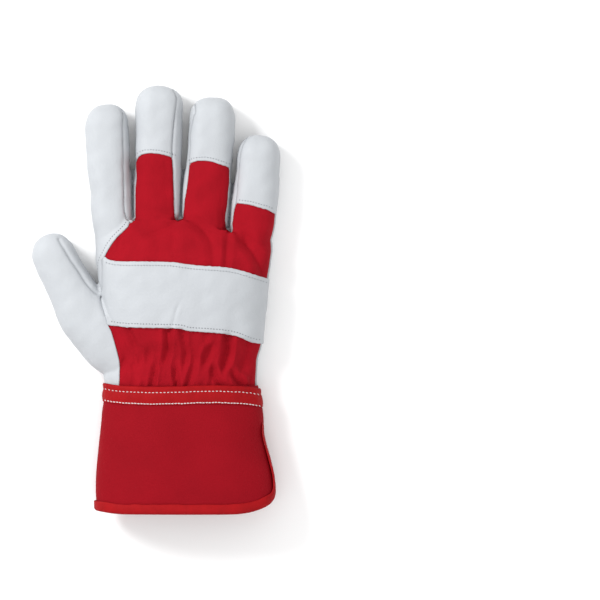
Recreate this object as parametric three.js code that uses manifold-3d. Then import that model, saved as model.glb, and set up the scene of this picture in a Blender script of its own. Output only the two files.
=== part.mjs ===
// A rigger glove for the right hand, lying palm down.
// The palm, thumb, index finger and fingertips are leather, the back is cloth with a leather
// strap over the knuckles, and the stiff cuff is open along the little-finger side.
// X runs across the hand with the thumb at -X, Y runs to the fingertips, Z runs up through the back.

import * as THREE from "three";
import { mergeVertices } from "three/addons/utils/BufferGeometryUtils.js";
import Module from "manifold-3d";

const wasm = await Module();
wasm.setup();

// Driving dimensions, mm.
const handLength = 188; // wrist seam to the tip of the middle finger
const cuffLength = 82; // wrist seam to the mouth
const palmWidth = 112;
const wristY = -53.1; // where the wrist seam crosses the Y axis
const palmThickness = 36; // at the knuckles
const fingerWidth = 30;
const fingerThickness = 25;
const thumbWidth = 36; // at its root
const thumbThickness = 28; // at its root
const seamHeight = 11.5; // of the seam between the palm side and the back
const sideWallLow = 5; // lower seam of the strips between the fingers
const sideWallHigh = 21; // upper seam of the strips, where it shows from above
const sideWallHidden = 13.5; // upper seam of the strips, where it lies out of sight
const sideWallTaper = 34; // length over which each strip narrows to its point
const leatherWall = 1.4;
const clothWall = 1.2;
const strapThickness = 1.3;
const cuffWall = 1.6;
const tapeThickness = 1.0;
const seamGap = 0.3; // between neighbouring pieces
const tuckLength = 9; // of the hand inside the cuff
const cuffMouthWidth = 115;
const cuffMouthHeight = 43;
const bandWidth = 15.2; // of the band over the wrist seam
const bindingWidth = 5;
const undersideSink = 2; // how far a round section would reach under the floor before it is flat
const tabWidth = 80; // of the leather tab over the cuff, palm side
const tabLength = 29;
const tabCornerRadius = 11;
const tabLap = 3; // how far the tab runs into the palm
const slitLength = 51;
const slitWidth = 5.2;
const slitRise = 0.8; // level of the slit's end, as a share of its level at the mouth
const cuffCornerRadius = 15;
const fingerTipLength = 15; // over which a fingertip rounds off
const thumbTipLength = 14;

// Facets.
const fingerSides = 16;
const fingerSidesInside = 12;
const thumbSides = 16;
const thumbSidesInside = 12;
const backSegments = 26;
const palmSegments = 10;
const cuffSides = 30;

// Centre lines from root to tip: across as a share of the palm width, along as a share of the
// hand length, width as a share of the finger width.
const fingerPaths = {
  index: [
    { across: -0.378, along: 0.41, width: 0.87 },
    { across: -0.412, along: 0.575, width: 0.9 },
    { across: -0.432, along: 0.787, width: 0.925 },
    { across: -0.441, along: 0.939, width: 0.92 },
  ],
  middle: [
    { across: -0.164, along: 0.41, width: 0.96 },
    { across: -0.161, along: 0.568, width: 0.975 },
    { across: -0.154, along: 0.787, width: 0.99 },
    { across: -0.143, along: 1.0, width: 0.98 },
  ],
  ring: [
    { across: 0.085, along: 0.41, width: 0.95 },
    { across: 0.113, along: 0.552, width: 0.975 },
    { across: 0.138, along: 0.77, width: 1.0 },
    { across: 0.159, along: 0.965, width: 0.98 },
  ],
  little: [
    { across: 0.315, along: 0.377, width: 0.93 },
    { across: 0.373, along: 0.511, width: 0.945 },
    { across: 0.405, along: 0.686, width: 0.975 },
    { across: 0.421, along: 0.836, width: 0.93 },
  ],
};

// Thumb centre line: width as a share of the thumb width, thick as a share of its thickness.
const thumbPath = [
  { across: -0.29, along: 0.087, width: 1.07, thick: 0.95 },
  { across: -0.416, along: 0.14, width: 1.07, thick: 1.0 },
  { across: -0.55, along: 0.233, width: 0.96, thick: 0.97 },
  { across: -0.653, along: 0.338, width: 0.79, thick: 0.9 },
  { across: -0.79, along: 0.492, width: 0.67, thick: 0.85 },
];

// Sections of the hand between the wrist and the fingers: left and right edges as shares of the
// palm width, top as a share of the palm thickness, skew as how far the right end of the section
// lies behind its middle, square as how boxy the arch is.
const handSections = [
  { along: -0.048, left: -0.445, right: 0.398, top: 0.865, skew: 0, square: 2.5 },
  { along: -0.004, left: -0.447, right: 0.402, top: 0.87, skew: 0, square: 2.5 },
  { along: 0.022, left: -0.46, right: 0.41, top: 0.865, skew: 0, square: 2.5 },
  { along: 0.065, left: -0.455, right: 0.412, top: 0.84, skew: 0, square: 2.5 },
  { along: 0.09, left: -0.452, right: 0.418, top: 0.822, skew: 0, square: 2.5 },
  { along: 0.112, left: -0.454, right: 0.426, top: 0.86, skew: 0, square: 2.5 },
  { along: 0.14, left: -0.456, right: 0.437, top: 0.93, skew: 0, square: 2.5 },
  { along: 0.18, left: -0.46, right: 0.443, top: 0.97, skew: 0, square: 2.5 },
  { along: 0.27, left: -0.472, right: 0.458, top: 1.0, skew: 0, square: 2.6 },
  { along: 0.35, left: -0.492, right: 0.471, top: 1.0, skew: 0, square: 2.7 },
  { along: 0.428, left: -0.506, right: 0.486, top: 0.95, skew: 0.02, square: 2.9 },
  { along: 0.494, left: -0.51, right: 0.499, top: 0.82, skew: 0.05, square: 3.2 },
  { along: 0.5545, left: -0.506, right: 0.497, top: 0.68, skew: 0.085, square: 3.4 },
];

// Sections of the cuff from the wrist seam to the mouth: down as a share of the cuff length, left
// and right as shares of the mouth width, top as a share of the mouth height, lift as how far its
// underside is held up by the tab, seam as its widest level as a share of the mouth height.
const cuffSections = [
  { down: 0.012, left: -0.452, right: 0.408, top: 0.765, lift: 1, seam: 0.29 },
  { down: 0.185, left: -0.454, right: 0.43, top: 0.77, lift: 1, seam: 0.3 },
  { down: 0.36, left: -0.472, right: 0.456, top: 0.84, lift: 1, seam: 0.35 },
  { down: 0.55, left: -0.482, right: 0.477, top: 0.9, lift: 0.4, seam: 0.4 },
  { down: 0.78, left: -0.49, right: 0.495, top: 0.95, lift: 0.06, seam: 0.44 },
  { down: 1.0, left: -0.488, right: 0.495, top: 0.97, lift: 0, seam: 0.46 },
];

// Creases pressed into the back: each runs between two points given as shares of the palm width
// and the hand length. Its depth is a share of the palm thickness, and its half width is a share
// of the palm width.
const creases = [
  { from: [-0.322, 0.165], to: [-0.272, 0.104], depth: 0.05, width: 0.029 },
  { from: [-0.186, 0.14], to: [-0.186, 0.082], depth: 0.044, width: 0.027 },
  { from: [-0.093, 0.172], to: [-0.104, 0.074], depth: 0.072, width: 0.03 },
  { from: [0.015, 0.15], to: [0.0, 0.06], depth: 0.056, width: 0.029 },
  { from: [0.13, 0.13], to: [0.102, 0.05], depth: 0.047, width: 0.027 },
  { from: [0.243, 0.158], to: [0.226, 0.06], depth: 0.078, width: 0.03 },
  { from: [0.367, 0.15], to: [0.327, 0.055], depth: 0.083, width: 0.037 },
  { from: [-0.333, 0.09], to: [-0.342, 0.02], depth: 0.042, width: 0.025 },
  { from: [-0.248, 0.09], to: [-0.243, 0.02], depth: 0.042, width: 0.025 },
  { from: [-0.15, 0.08], to: [-0.175, 0.0], depth: 0.047, width: 0.025 },
  { from: [-0.028, 0.055], to: [-0.04, 0.0], depth: 0.061, width: 0.027 },
  { from: [0.068, 0.074], to: [0.079, 0.0], depth: 0.044, width: 0.025 },
  { from: [0.165, 0.061], to: [0.205, 0.0], depth: 0.056, width: 0.027 },
  { from: [0.285, 0.05], to: [0.335, 0.0], depth: 0.072, width: 0.03 },
  { from: [-0.04, 0.53], to: [-0.25, 0.47], depth: 0.036, width: 0.04 },
  { from: [0.02, 0.51], to: [0.16, 0.46], depth: 0.036, width: 0.04 },
  { from: [0.3, 0.48], to: [0.41, 0.38], depth: 0.039, width: 0.04 },
  { from: [-0.023, 0.29], to: [-0.068, 0.175], depth: 0.036, width: 0.031 },
  { from: [0.231, 0.336], to: [0.237, 0.161], depth: 0.044, width: 0.058 },
];

// Seam lines and edges in plan, as shares of the palm width and the hand length.
const edges = {
  indexToMiddle: [[-0.2955, 0.5], [-0.294, 0.74], [-0.294, 1.1]],
  middleToRing: [[-0.025, 0.56], [-0.011, 0.737], [0.006, 1.1]],
  ringToLittle: [[0.243, 0.485], [0.262, 0.568], [0.274, 0.66], [0.291, 0.854], [0.3, 1.1]],
  thumbToIndex: [[-1.1, 0.535], [-0.706, 0.531], [-0.559, 0.484], [-0.519, 0.4], [-0.486, 0.343]],
  crotch: [[-0.478, 0.312]],
  thumbOnBack: [
    [-0.47, 0.29], [-0.446, 0.232], [-0.413, 0.178], [-0.39, 0.132], [-0.367, 0.067],
    [-0.371, 0.01], [-0.38, -0.1],
  ],
  thumbOnPalm: [
    [-0.492, 0.285], [-0.51, 0.22], [-0.522, 0.14], [-0.515, 0.06], [-0.5, 0.0], [-0.49, -0.1],
  ],
  indexOnBack: [
    [-0.2955, 0.56], [-0.322, 0.529], [-0.367, 0.501], [-0.423, 0.461], [-0.452, 0.427],
    [-0.468, 0.4],
  ],
  middleCap: [[-0.294, 0.748], [-0.254, 0.767], [-0.18, 0.775], [-0.1, 0.768], [-0.011, 0.75]],
  ringCap: [[-0.0125, 0.732], [0.056, 0.748], [0.141, 0.748], [0.215, 0.736], [0.279, 0.722]],
  littleCap: [[0.265, 0.609], [0.3, 0.609], [0.378, 0.6], [0.469, 0.585], [0.6, 0.553]],
  frontOnPalm: [
    [-0.2955, 0.517], [-0.264, 0.513], [-0.188, 0.519], [-0.107, 0.528], [-0.053, 0.528],
    [0.028, 0.52], [0.108, 0.508], [0.18, 0.503], [0.243, 0.515],
  ],
  strapTop: [
    [-0.448, 0.427], [-0.42, 0.415], [-0.33, 0.41], [-0.073, 0.408], [0.028, 0.4],
    [0.243, 0.389], [0.333, 0.377], [0.423, 0.361], [0.6, 0.329],
  ],
  strapBottom: [
    [-0.424, 0.198], [-0.322, 0.193], [-0.028, 0.188], [0.028, 0.18], [0.243, 0.169],
    [0.31, 0.159], [0.367, 0.145], [0.6, 0.112],
  ],
  strapLeft: [[-0.449, 0.26], [-0.458, 0.31], [-0.458, 0.38]],
};

// Strips between the fingers: how far along their lower end and their point lie, and the level
// of their upper seam on the finger to the left and on the one to the right.
const sideWalls = {
  index: {
    root: 0.546, point: 0.905, left: "index", right: "middle",
    onLeft: sideWallHigh, onRight: sideWallHidden,
  },
  middle: {
    root: 0.546, point: 0.945, left: "middle", right: "ring",
    onLeft: sideWallHigh, onRight: sideWallHigh,
  },
  ring: {
    root: 0.504, point: 0.81, left: "ring", right: "little",
    onLeft: sideWallHidden, onRight: sideWallHigh,
  },
};

// How a strip narrows: shares of its taper, and of the way from its edge to the finger's seam.
const sideWallShape = [[0, 0], [0.6, 0.08], [0.85, 0.35], [1, 0.88]];

const mouthY = wristY - cuffLength;
const tapeRoom = tapeThickness + seamGap; // a tape over another piece
const floorAtMouth = tapeRoom; // the underside of the cuff, over its binding
const floorOverTab = leatherWall + seamGap + tapeRoom; // over the tab and the band
const overallTop = palmThickness + cuffMouthHeight; // above everything
const under = -10; // below everything
const aside = 3 * palmWidth; // beyond everything
const openEnd = 5; // how far a hollow runs on past an open end

// ---- Helpers

function planPoint([across, along]) {
  return new THREE.Vector2(across * palmWidth, wristY + along * handLength);
}

// A solid from a closed geometry, turned to face out.
function solidFrom(geometry) {
  const merged = mergeVertices(
    new THREE.BufferGeometry()
      .setAttribute("position", geometry.getAttribute("position"))
      .setIndex(geometry.getIndex()),
    1e-5,
  );
  const make = (triVerts) =>
    new wasm.Manifold(
      new wasm.Mesh({
        numProp: 3,
        vertProperties: merged.getAttribute("position").array,
        triVerts,
      }),
    );
  const corners = new Uint32Array(merged.getIndex().array);
  const solid = make(corners);
  return solid.volume() < 0 ? make(corners.toReversed()) : solid;
}

function geometryFrom(solid) {
  const mesh = solid.getMesh();
  const positions = new Float32Array(mesh.numVert * 3);
  for (let i = 0; i < mesh.numVert; i++) {
    for (let k = 0; k < 3; k++) {
      positions[3 * i + k] = mesh.vertProperties[mesh.numProp * i + k];
    }
  }
  return new THREE.BufferGeometry()
    .setAttribute("position", new THREE.BufferAttribute(positions, 3))
    .setIndex(new THREE.BufferAttribute(mesh.triVerts, 1));
}

// A closed solid through rings of equal point count, each end closed by a fan to a point.
function loft(rings, startPoint, endPoint) {
  const count = rings[0].length;
  const points = rings.flat();
  const start = points.push(startPoint) - 1;
  const end = points.push(endPoint) - 1;
  const index = [];
  for (let j = 0; j < count; j++) {
    const next = (j + 1) % count;
    index.push(start, next, j);
    for (let i = 0; i + 1 < rings.length; i++) {
      const a = i * count + j;
      const b = i * count + next;
      index.push(a, b, b + count, a, b + count, a + count);
    }
    index.push(end, (rings.length - 1) * count + j, (rings.length - 1) * count + next);
  }
  const positions = new Float32Array(points.flatMap((p) => [p.x, p.y, p.z]));
  return solidFrom(
    new THREE.BufferGeometry()
      .setAttribute("position", new THREE.BufferAttribute(positions, 3))
      .setIndex(index),
  );
}

// A solid over an outline in plan.
function prism(outline, low = under, high = overallTop) {
  const depth = high - low;
  const geometry = new THREE.ExtrudeGeometry(new THREE.Shape(outline), {
    depth,
    bevelEnabled: false,
  }).translate(0, 0, low);
  geometry.setIndex([...Array(geometry.getAttribute("position").count).keys()]);
  return solidFrom(geometry);
}

// A solid over an outline of Y and Z, running across the hand.
function crossPrism(outline, low, high) {
  const geometry = new THREE.ExtrudeGeometry(new THREE.Shape(outline), {
    depth: high - low,
    bevelEnabled: false,
  }).translate(0, 0, low);
  geometry.applyMatrix4(
    new THREE.Matrix4().makeBasis(
      new THREE.Vector3(0, 1, 0),
      new THREE.Vector3(0, 0, 1),
      new THREE.Vector3(1, 0, 0),
    ),
  );
  geometry.setIndex([...Array(geometry.getAttribute("position").count).keys()]);
  return solidFrom(geometry);
}

// Moves each corner of an outline outwards, or inwards where the distance is negative.
function offset(outline, distance) {
  const turn = Math.sign(THREE.ShapeUtils.area(outline));
  return outline.map((point, i) => {
    const before = outline[(i + outline.length - 1) % outline.length];
    const after = outline[(i + 1) % outline.length];
    const a = point.clone().sub(before).normalize();
    const b = after.clone().sub(point).normalize();
    const normal = new THREE.Vector2(a.y + b.y, -a.x - b.x).normalize();
    const reach = distance / Math.max(0.5, normal.dot(new THREE.Vector2(a.y, -a.x)));
    return point.clone().addScaledVector(normal, turn * reach);
  });
}

function slab(lowX, highX, lowY, highY, lowZ, highZ) {
  const box = new THREE.BoxGeometry(highX - lowX, highY - lowY, highZ - lowZ);
  box.translate((lowX + highX) / 2, (lowY + highY) / 2, (lowZ + highZ) / 2);
  return solidFrom(box);
}

// How deep the creases press the back at a point.
function creaseDepth(x, y) {
  let total = 0;
  for (const { from, to, depth, width } of creases) {
    const a = planPoint(from);
    const run = planPoint(to).sub(a);
    const away = new THREE.Vector2(x, y).sub(a);
    const share = away.dot(run) / run.lengthSq();
    const along = THREE.MathUtils.clamp(share, 0, 1);
    const distance = away.addScaledVector(run, -along).length();
    total += depth * palmThickness * Math.exp(-((distance / width / palmWidth) ** 2));
  }
  return total;
}

// ---- The form of the hand, grown outwards or shrunk by a distance

// A rounded tube along a centre line, flat where it rests, with a rounded tip.
function digit(path, tipLength, grow, sides, straightSteps) {
  const line = new THREE.CatmullRomCurve3(path.map((p) => p.centre));
  const length = line.getLength();
  const shoulder = length - tipLength;
  const square = 2.4;
  const stations = [];
  for (let i = 0; i <= straightSteps; i++) {
    stations.push({ distance: (shoulder * i) / straightSteps, scale: 1 });
  }
  for (const s of [0.45, 0.75, 0.93, 0.99]) {
    const scale = (1 - s ** square) ** (1 / square);
    stations.push({ distance: shoulder + (tipLength + grow) * s, scale });
  }
  const at = (distance) => {
    const share = Math.min(1, distance / length);
    const position = share * (path.length - 1);
    const i = Math.min(path.length - 2, Math.floor(position));
    const mix = position - i;
    const tangent = line.getTangentAt(share);
    return {
      point: line.getPointAt(share).addScaledVector(tangent, Math.max(0, distance - length)),
      across: new THREE.Vector3(tangent.y, -tangent.x, 0),
      halfWidth: THREE.MathUtils.lerp(path[i].halfWidth, path[i + 1].halfWidth, mix),
      height: THREE.MathUtils.lerp(path[i].height, path[i + 1].height, mix),
    };
  };
  const rings = stations.map(({ distance, scale }) => {
    const { point, across, halfWidth, height } = at(distance);
    return Array.from({ length: sides }, (_, k) => {
      const turn = (2 * Math.PI * k) / sides;
      const c = Math.cos(turn);
      const s = Math.sin(turn);
      const u = Math.sign(c) * Math.abs(c) ** (2 / square) * (halfWidth + grow) * scale;
      const rise = s > 0 ? height - seamHeight + grow : seamHeight + undersideSink + grow;
      const w = Math.sign(s) * Math.abs(s) ** (2 / square) * rise * scale;
      const result = point.clone().addScaledVector(across, u);
      result.z = Math.max(-grow, seamHeight + w);
      return result;
    });
  });
  const first = at(0).point.clone().setZ(seamHeight);
  const tip = at(shoulder + tipLength + grow).point.clone().setZ(seamHeight);
  return loft(rings, first, tip);
}

function fingerForm(name, grow, sides, steps) {
  const path = fingerPaths[name].map(({ across, along, width }) => {
    const { x, y } = planPoint([across, along]);
    const halfWidth = (width * fingerWidth) / 2;
    return { centre: new THREE.Vector3(x, y, 0), halfWidth, height: fingerThickness };
  });
  return digit(path, fingerTipLength, grow, sides, steps);
}

function thumbForm(grow, sides, steps) {
  const path = thumbPath.map(({ across, along, width, thick }) => {
    const { x, y } = planPoint([across, along]);
    const halfWidth = (width * thumbWidth) / 2;
    return { centre: new THREE.Vector3(x, y, 0), halfWidth, height: thick * thumbThickness };
  });
  return digit(path, thumbTipLength, grow, sides, steps);
}

function handForm(grow) {
  const rings = handSections.map((section, i) => {
    const halfWidth = ((section.right - section.left) * palmWidth) / 2 + grow;
    const middle = ((section.right + section.left) * palmWidth) / 2;
    let y = wristY + section.along * handLength;
    if (i === 0) y = wristY - tuckLength - (grow < 0 ? openEnd : 0);
    if (i === handSections.length - 1) y += grow;
    const arch = (share) => (1 - Math.abs(share) ** section.square) ** (1 / section.square);
    const place = (share, z) => {
      const skewed = y - Math.max(0, share) * section.skew * handLength;
      return new THREE.Vector3(middle + share * halfWidth, skewed, z);
    };
    const ring = [];
    for (let k = 0; k < backSegments; k++) {
      const even = 1 - (2 * k) / backSegments;
      const share = 0.6 * even + 0.4 * Math.sin((Math.PI * even) / 2);
      const rise = section.top * palmThickness - seamHeight + grow;
      const point = place(share, seamHeight + rise * arch(share));
      const pressed = creaseDepth(point.x, point.y) * Math.min(1, 1.6 * arch(share) ** 2);
      point.z = Math.max(seamHeight, point.z - pressed);
      ring.push(point);
    }
    for (let k = 0; k < palmSegments; k++) {
      const share = -Math.cos((Math.PI * k) / palmSegments);
      const drop = seamHeight + undersideSink + grow;
      ring.push(place(share, Math.max(-grow, seamHeight - drop * arch(share))));
    }
    return ring;
  });
  const centreOf = (ring) => {
    const left = ring[backSegments];
    return new THREE.Vector3((ring[0].x + left.x) / 2, left.y, seamHeight);
  };
  return loft(rings, centreOf(rings[0]), centreOf(rings.at(-1)));
}

function gloveForm(grow) {
  const inside = grow < 0;
  const names = Object.keys(fingerPaths);
  const sides = inside ? fingerSidesInside : fingerSides;
  const parts = names.map((name) => fingerForm(name, grow, sides, 3));
  parts.push(thumbForm(grow, inside ? thumbSidesInside : thumbSides, 4));
  parts.push(handForm(grow));
  return wasm.Manifold.union(parts);
}

// ---- The form of the cuff

function cuffForm(grow, lowExtra = 0, highExtra = 0) {
  const square = 2.35;
  const rings = cuffSections.map((section, i) => {
    const halfWidth = ((section.right - section.left) * cuffMouthWidth) / 2 + grow;
    const middle = ((section.right + section.left) * cuffMouthWidth) / 2;
    const widest = section.seam * cuffMouthHeight;
    const floor = THREE.MathUtils.lerp(floorAtMouth, floorOverTab, section.lift);
    const y = wristY - section.down * (cuffLength - tapeRoom);
    const shift = i === 0 ? highExtra : i === cuffSections.length - 1 ? -lowExtra : 0;
    return Array.from({ length: cuffSides }, (_, k) => {
      const turn = (2 * Math.PI * k) / cuffSides;
      const c = Math.cos(turn);
      const s = Math.sin(turn);
      const u = Math.sign(c) * Math.abs(c) ** (2 / square) * halfWidth;
      const rise = s > 0 ? section.top * cuffMouthHeight - widest + grow : widest + grow;
      const w = widest + Math.sign(s) * Math.abs(s) ** (2 / square) * rise;
      return new THREE.Vector3(middle + u, y + shift, Math.max(floor - grow, w));
    });
  });
  const middleOf = (ring) => new THREE.Vector3(0, ring[0].y, ring[0].z);
  return loft(rings, middleOf(rings[0]), middleOf(rings.at(-1)));
}

// The side opening of the cuff with its rounded corners, as seen from the side.
function slitOutline(grow) {
  const openY = mouthY + tapeRoom;
  const topY = openY + slitLength + grow;
  const mouthLevel = cuffSections.at(-1).seam * cuffMouthHeight;
  const topLevel = cuffSections.at(-1).seam * slitRise * cuffMouthHeight;
  const centre = (y) => THREE.MathUtils.mapLinear(y, openY, topY, mouthLevel, topLevel);
  const half = (y) => {
    const away = (cuffCornerRadius - (y - openY)) / cuffCornerRadius;
    const bend = away > 0 ? 1 - Math.sqrt(1 - Math.min(1, away) ** 2) : 0;
    return slitWidth / 2 + grow + cuffCornerRadius * bend;
  };
  const heights = [1, 0.6, 0.33, 0.13, 0].map((share) => openY + share * cuffCornerRadius);
  heights.unshift(topY);
  heights.push(openY - openEnd);
  const upper = heights.map((y) => new THREE.Vector2(y, centre(y) + half(y)));
  const lower = heights.map((y) => new THREE.Vector2(y, centre(y) - half(y)));
  return [...upper, ...lower.reverse()];
}

function cuffPanel(grow) {
  const outer = cuffForm(grow, grow, grow);
  const inner = cuffForm(-cuffWall - grow, openEnd, openEnd);
  const slit = crossPrism(slitOutline(-grow), 0, aside);
  return outer.subtract(inner).subtract(slit);
}

// ---- Regions in plan

function outlineOf(...lines) {
  return lines.flat().map(planPoint);
}

const regions = {
  thumbOnBack: outlineOf(
    edges.thumbToIndex, edges.crotch, edges.thumbOnBack, [[-1.1, -0.1]],
  ),
  thumbOnPalm: outlineOf(
    edges.thumbToIndex, edges.crotch, edges.thumbOnPalm, [[-1.1, -0.1]],
  ),
  indexOnBack: outlineOf(
    [[-0.294, 1.1], [-0.294, 0.74]], edges.indexOnBack, edges.crotch,
    edges.thumbToIndex.toReversed(), [[-1.1, 1.1]],
  ),
  middleCap: outlineOf(edges.middleCap, [[0.006, 1.1], [-0.294, 1.1]]),
  ringCap: outlineOf(edges.ringCap, [[0.291, 0.854], [0.3, 1.1], [0.006, 1.1]]),
  littleCap: outlineOf(edges.littleCap, [[0.6, 1.1], [0.3, 1.1], [0.291, 0.854], [0.274, 0.66]]),
  frontOnPalm: outlineOf(
    edges.frontOnPalm, edges.ringToLittle.slice(1), edges.indexToMiddle.toReversed().slice(0, 2),
  ),
  strap: outlineOf(edges.strapTop, edges.strapBottom.toReversed(), edges.strapLeft),
};

// The strip between two fingers, pointed towards their tips, grown by a distance.
function sideWallRegion(name, grow) {
  const { root, point, left, right, onLeft, onRight } = sideWalls[name];
  const rootY = wristY + root * handLength;
  const pointY = wristY + point * handLength;
  const taperY = pointY - sideWallTaper;
  const edge = (share, end) => THREE.MathUtils.lerp(end, seamHeight, share);
  const profileTo = (high) => {
    const lower = sideWallShape.map(([along, share]) => [
      THREE.MathUtils.lerp(taperY, pointY + grow, along), edge(share, sideWallLow) - grow,
    ]);
    const upper = sideWallShape.map(([along, share]) => [
      THREE.MathUtils.lerp(taperY, pointY + grow, along), edge(share, high) + grow,
    ]);
    return [
      [rootY - grow, sideWallLow - grow], ...lower, ...upper.toReversed(),
      [rootY - grow, high + grow],
    ].map(([y, z]) => new THREE.Vector2(y, z));
  };
  const lineOf = (finger) => fingerPaths[finger].map(({ across, along }) => [across, along]);
  const leftLine = lineOf(left);
  const rightLine = lineOf(right);
  // The two halves lap a little where they meet between the fingers.
  const between = (lap) => leftLine.map(([across, along], i) => [
    (across + rightLine[i][0]) / 2 + lap / palmWidth, (along + rightLine[i][1]) / 2,
  ]);
  const half = (high, plan) => crossPrism(profileTo(high), -aside, aside).intersect(prism(plan));
  return half(onLeft, outlineOf(leftLine, between(seamGap).toReversed())).add(
    half(onRight, outlineOf(between(0), rightLine.toReversed())),
  );
}

// ---- Pieces

function wallOf(thickness) {
  return gloveForm(0).subtract(gloveForm(-thickness));
}

// The largest body of a solid, without the crumbs a cut can leave.
function mainBody(solid) {
  const bodies = solid.decompose().sort((a, b) => b.volume() - a.volume());
  return bodies[0];
}

// The room that the cuff and its band take up round the tucked-in wrist.
const cuffRoom = slab(-aside, aside, -aside, wristY - seamGap, under, overallTop).subtract(
  cuffForm(-cuffWall - seamGap, 0, openEnd),
);

const leather = wallOf(leatherWall);
const cloth = wallOf(clothWall);
const aboveSeam = slab(-aside, aside, -aside, 2 * aside, seamHeight + seamGap / 2, overallTop);
const underSeam = slab(-aside, aside, -aside, 2 * aside, under, seamHeight - seamGap / 2);
const sideWallNames = Object.keys(sideWalls);
const sideWallRoom = wasm.Manifold.union(
  sideWallNames.map((name) => sideWallRegion(name, seamGap)),
);
const leatherBack = leather.intersect(aboveSeam).subtract(sideWallRoom);
const leatherPalm = leather.intersect(underSeam).subtract(sideWallRoom);

function region(name, grow = -seamGap / 2, low = under, high = overallTop) {
  return prism(offset(regions[name], grow), low, high);
}

const thumbRegion = (grow) =>
  region("thumbOnBack", grow, seamHeight - grow).add(
    region("thumbOnPalm", grow, under, seamHeight + 0.5),
  );

const indexBack = leatherBack.intersect(region("indexOnBack"));
const thumb = leather.intersect(thumbRegion(-seamGap / 2)).subtract(cuffRoom);
const middleCap = leatherBack.intersect(region("middleCap"));
const ringCap = leatherBack.intersect(region("ringCap"));
const littleCap = leatherBack.intersect(region("littleCap"));
const fingerFront = leatherPalm.intersect(region("frontOnPalm"));

const backCloth = wasm.Manifold.difference([
  cloth.intersect(aboveSeam),
  sideWallRoom,
  cuffRoom,
  region("thumbOnBack", seamGap / 2),
  region("indexOnBack", seamGap / 2),
  region("middleCap", seamGap / 2),
  region("ringCap", seamGap / 2),
  region("littleCap", seamGap / 2),
]);

// The palm side runs down over the cuff as a tab with rounded corners, and beside it the palm
// is tucked inside the cuff.
function tabOutline() {
  const half = tabWidth / 2;
  const low = wristY - tabLength;
  const points = [new THREE.Vector2(half, wristY + tabLap)];
  for (const side of [1, -1]) {
    for (let k = 0; k <= 5; k++) {
      const turn = (Math.PI / 2) * (side > 0 ? k / 5 : 1 - k / 5);
      const x = side * (half - tabCornerRadius + tabCornerRadius * Math.cos(turn));
      points.push(new THREE.Vector2(x, low + tabCornerRadius * (1 - Math.sin(turn))));
    }
  }
  points.push(new THREE.Vector2(-half, wristY + tabLap));
  return points;
}

const palmLeather = wasm.Manifold.difference([
  leatherPalm,
  region("thumbOnPalm", seamGap / 2),
  region("frontOnPalm", seamGap / 2),
  cuffRoom,
]).add(prism(tabOutline(), 0, leatherWall));

const strap = gloveForm(seamGap + strapThickness)
  .subtract(gloveForm(seamGap))
  .intersect(region("strap", 0, seamHeight + strapThickness));

const cuff = cuffPanel(0);
const bandTopY = wristY - 2 * seamGap;
const band = cuffForm(tapeRoom, 0, openEnd)
  .subtract(cuffForm(seamGap, 0, 2 * openEnd))
  .intersect(slab(-aside, aside, bandTopY - bandWidth, bandTopY, under, overallTop));
const bindingZone = slab(
  -aside, aside, -aside, mouthY + bindingWidth, under, overallTop,
).add(crossPrism(slitOutline(bindingWidth - tapeThickness), 0, aside));
const binding = cuffPanel(tapeRoom)
  .subtract(cuffPanel(seamGap))
  .intersect(bindingZone);

// ---- Materials and meshes

const materials = {
  leather: new THREE.MeshStandardMaterial({ color: 0xdfe3e6, roughness: 0.55, metalness: 0 }),
  cloth: new THREE.MeshStandardMaterial({ color: 0xb41c2a, roughness: 0.9, metalness: 0 }),
  cuff: new THREE.MeshStandardMaterial({ color: 0xac1e26, roughness: 0.7, metalness: 0 }),
  tape: new THREE.MeshStandardMaterial({ color: 0xc8222c, roughness: 0.8, metalness: 0 }),
};

const glove = new THREE.Group();
glove.name = "rigger_glove";

function addPiece(name, solid, material) {
  const mesh = new THREE.Mesh(geometryFrom(mainBody(solid)), materials[material].clone());
  mesh.name = name;
  glove.add(mesh);
}

addPiece("palm_leather", palmLeather, "leather");
addPiece("finger_front", fingerFront, "leather");
addPiece("thumb", thumb, "leather");
addPiece("index_back", indexBack, "leather");
addPiece("cap_middle", middleCap, "leather");
addPiece("cap_ring", ringCap, "leather");
addPiece("cap_little", littleCap, "leather");
for (const name of sideWallNames) {
  addPiece("fourchette_" + name, leather.intersect(sideWallRegion(name, 0)), "leather");
}
addPiece("back_cloth", backCloth, "cloth");
addPiece("knuckle_strap", strap, "leather");
addPiece("cuff", cuff, "cuff");
addPiece("cuff_band", band, "tape");
addPiece("cuff_binding", binding, "tape");

export default glove;
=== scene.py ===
import math

import bpy
import numpy as np
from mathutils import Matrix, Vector
from mathutils.bvhtree import BVHTree


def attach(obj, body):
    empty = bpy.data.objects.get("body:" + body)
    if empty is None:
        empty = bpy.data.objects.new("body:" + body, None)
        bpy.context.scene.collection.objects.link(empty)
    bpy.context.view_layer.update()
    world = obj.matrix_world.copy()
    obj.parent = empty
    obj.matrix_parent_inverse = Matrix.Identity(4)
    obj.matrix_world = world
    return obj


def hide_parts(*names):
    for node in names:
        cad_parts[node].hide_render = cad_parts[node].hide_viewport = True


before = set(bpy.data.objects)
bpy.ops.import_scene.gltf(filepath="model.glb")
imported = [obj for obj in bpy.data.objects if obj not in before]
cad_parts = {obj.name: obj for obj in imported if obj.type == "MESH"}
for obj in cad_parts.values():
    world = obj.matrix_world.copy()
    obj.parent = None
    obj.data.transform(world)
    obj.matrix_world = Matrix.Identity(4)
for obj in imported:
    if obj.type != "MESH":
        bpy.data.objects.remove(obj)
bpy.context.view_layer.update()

# Sizes, mm

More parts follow.
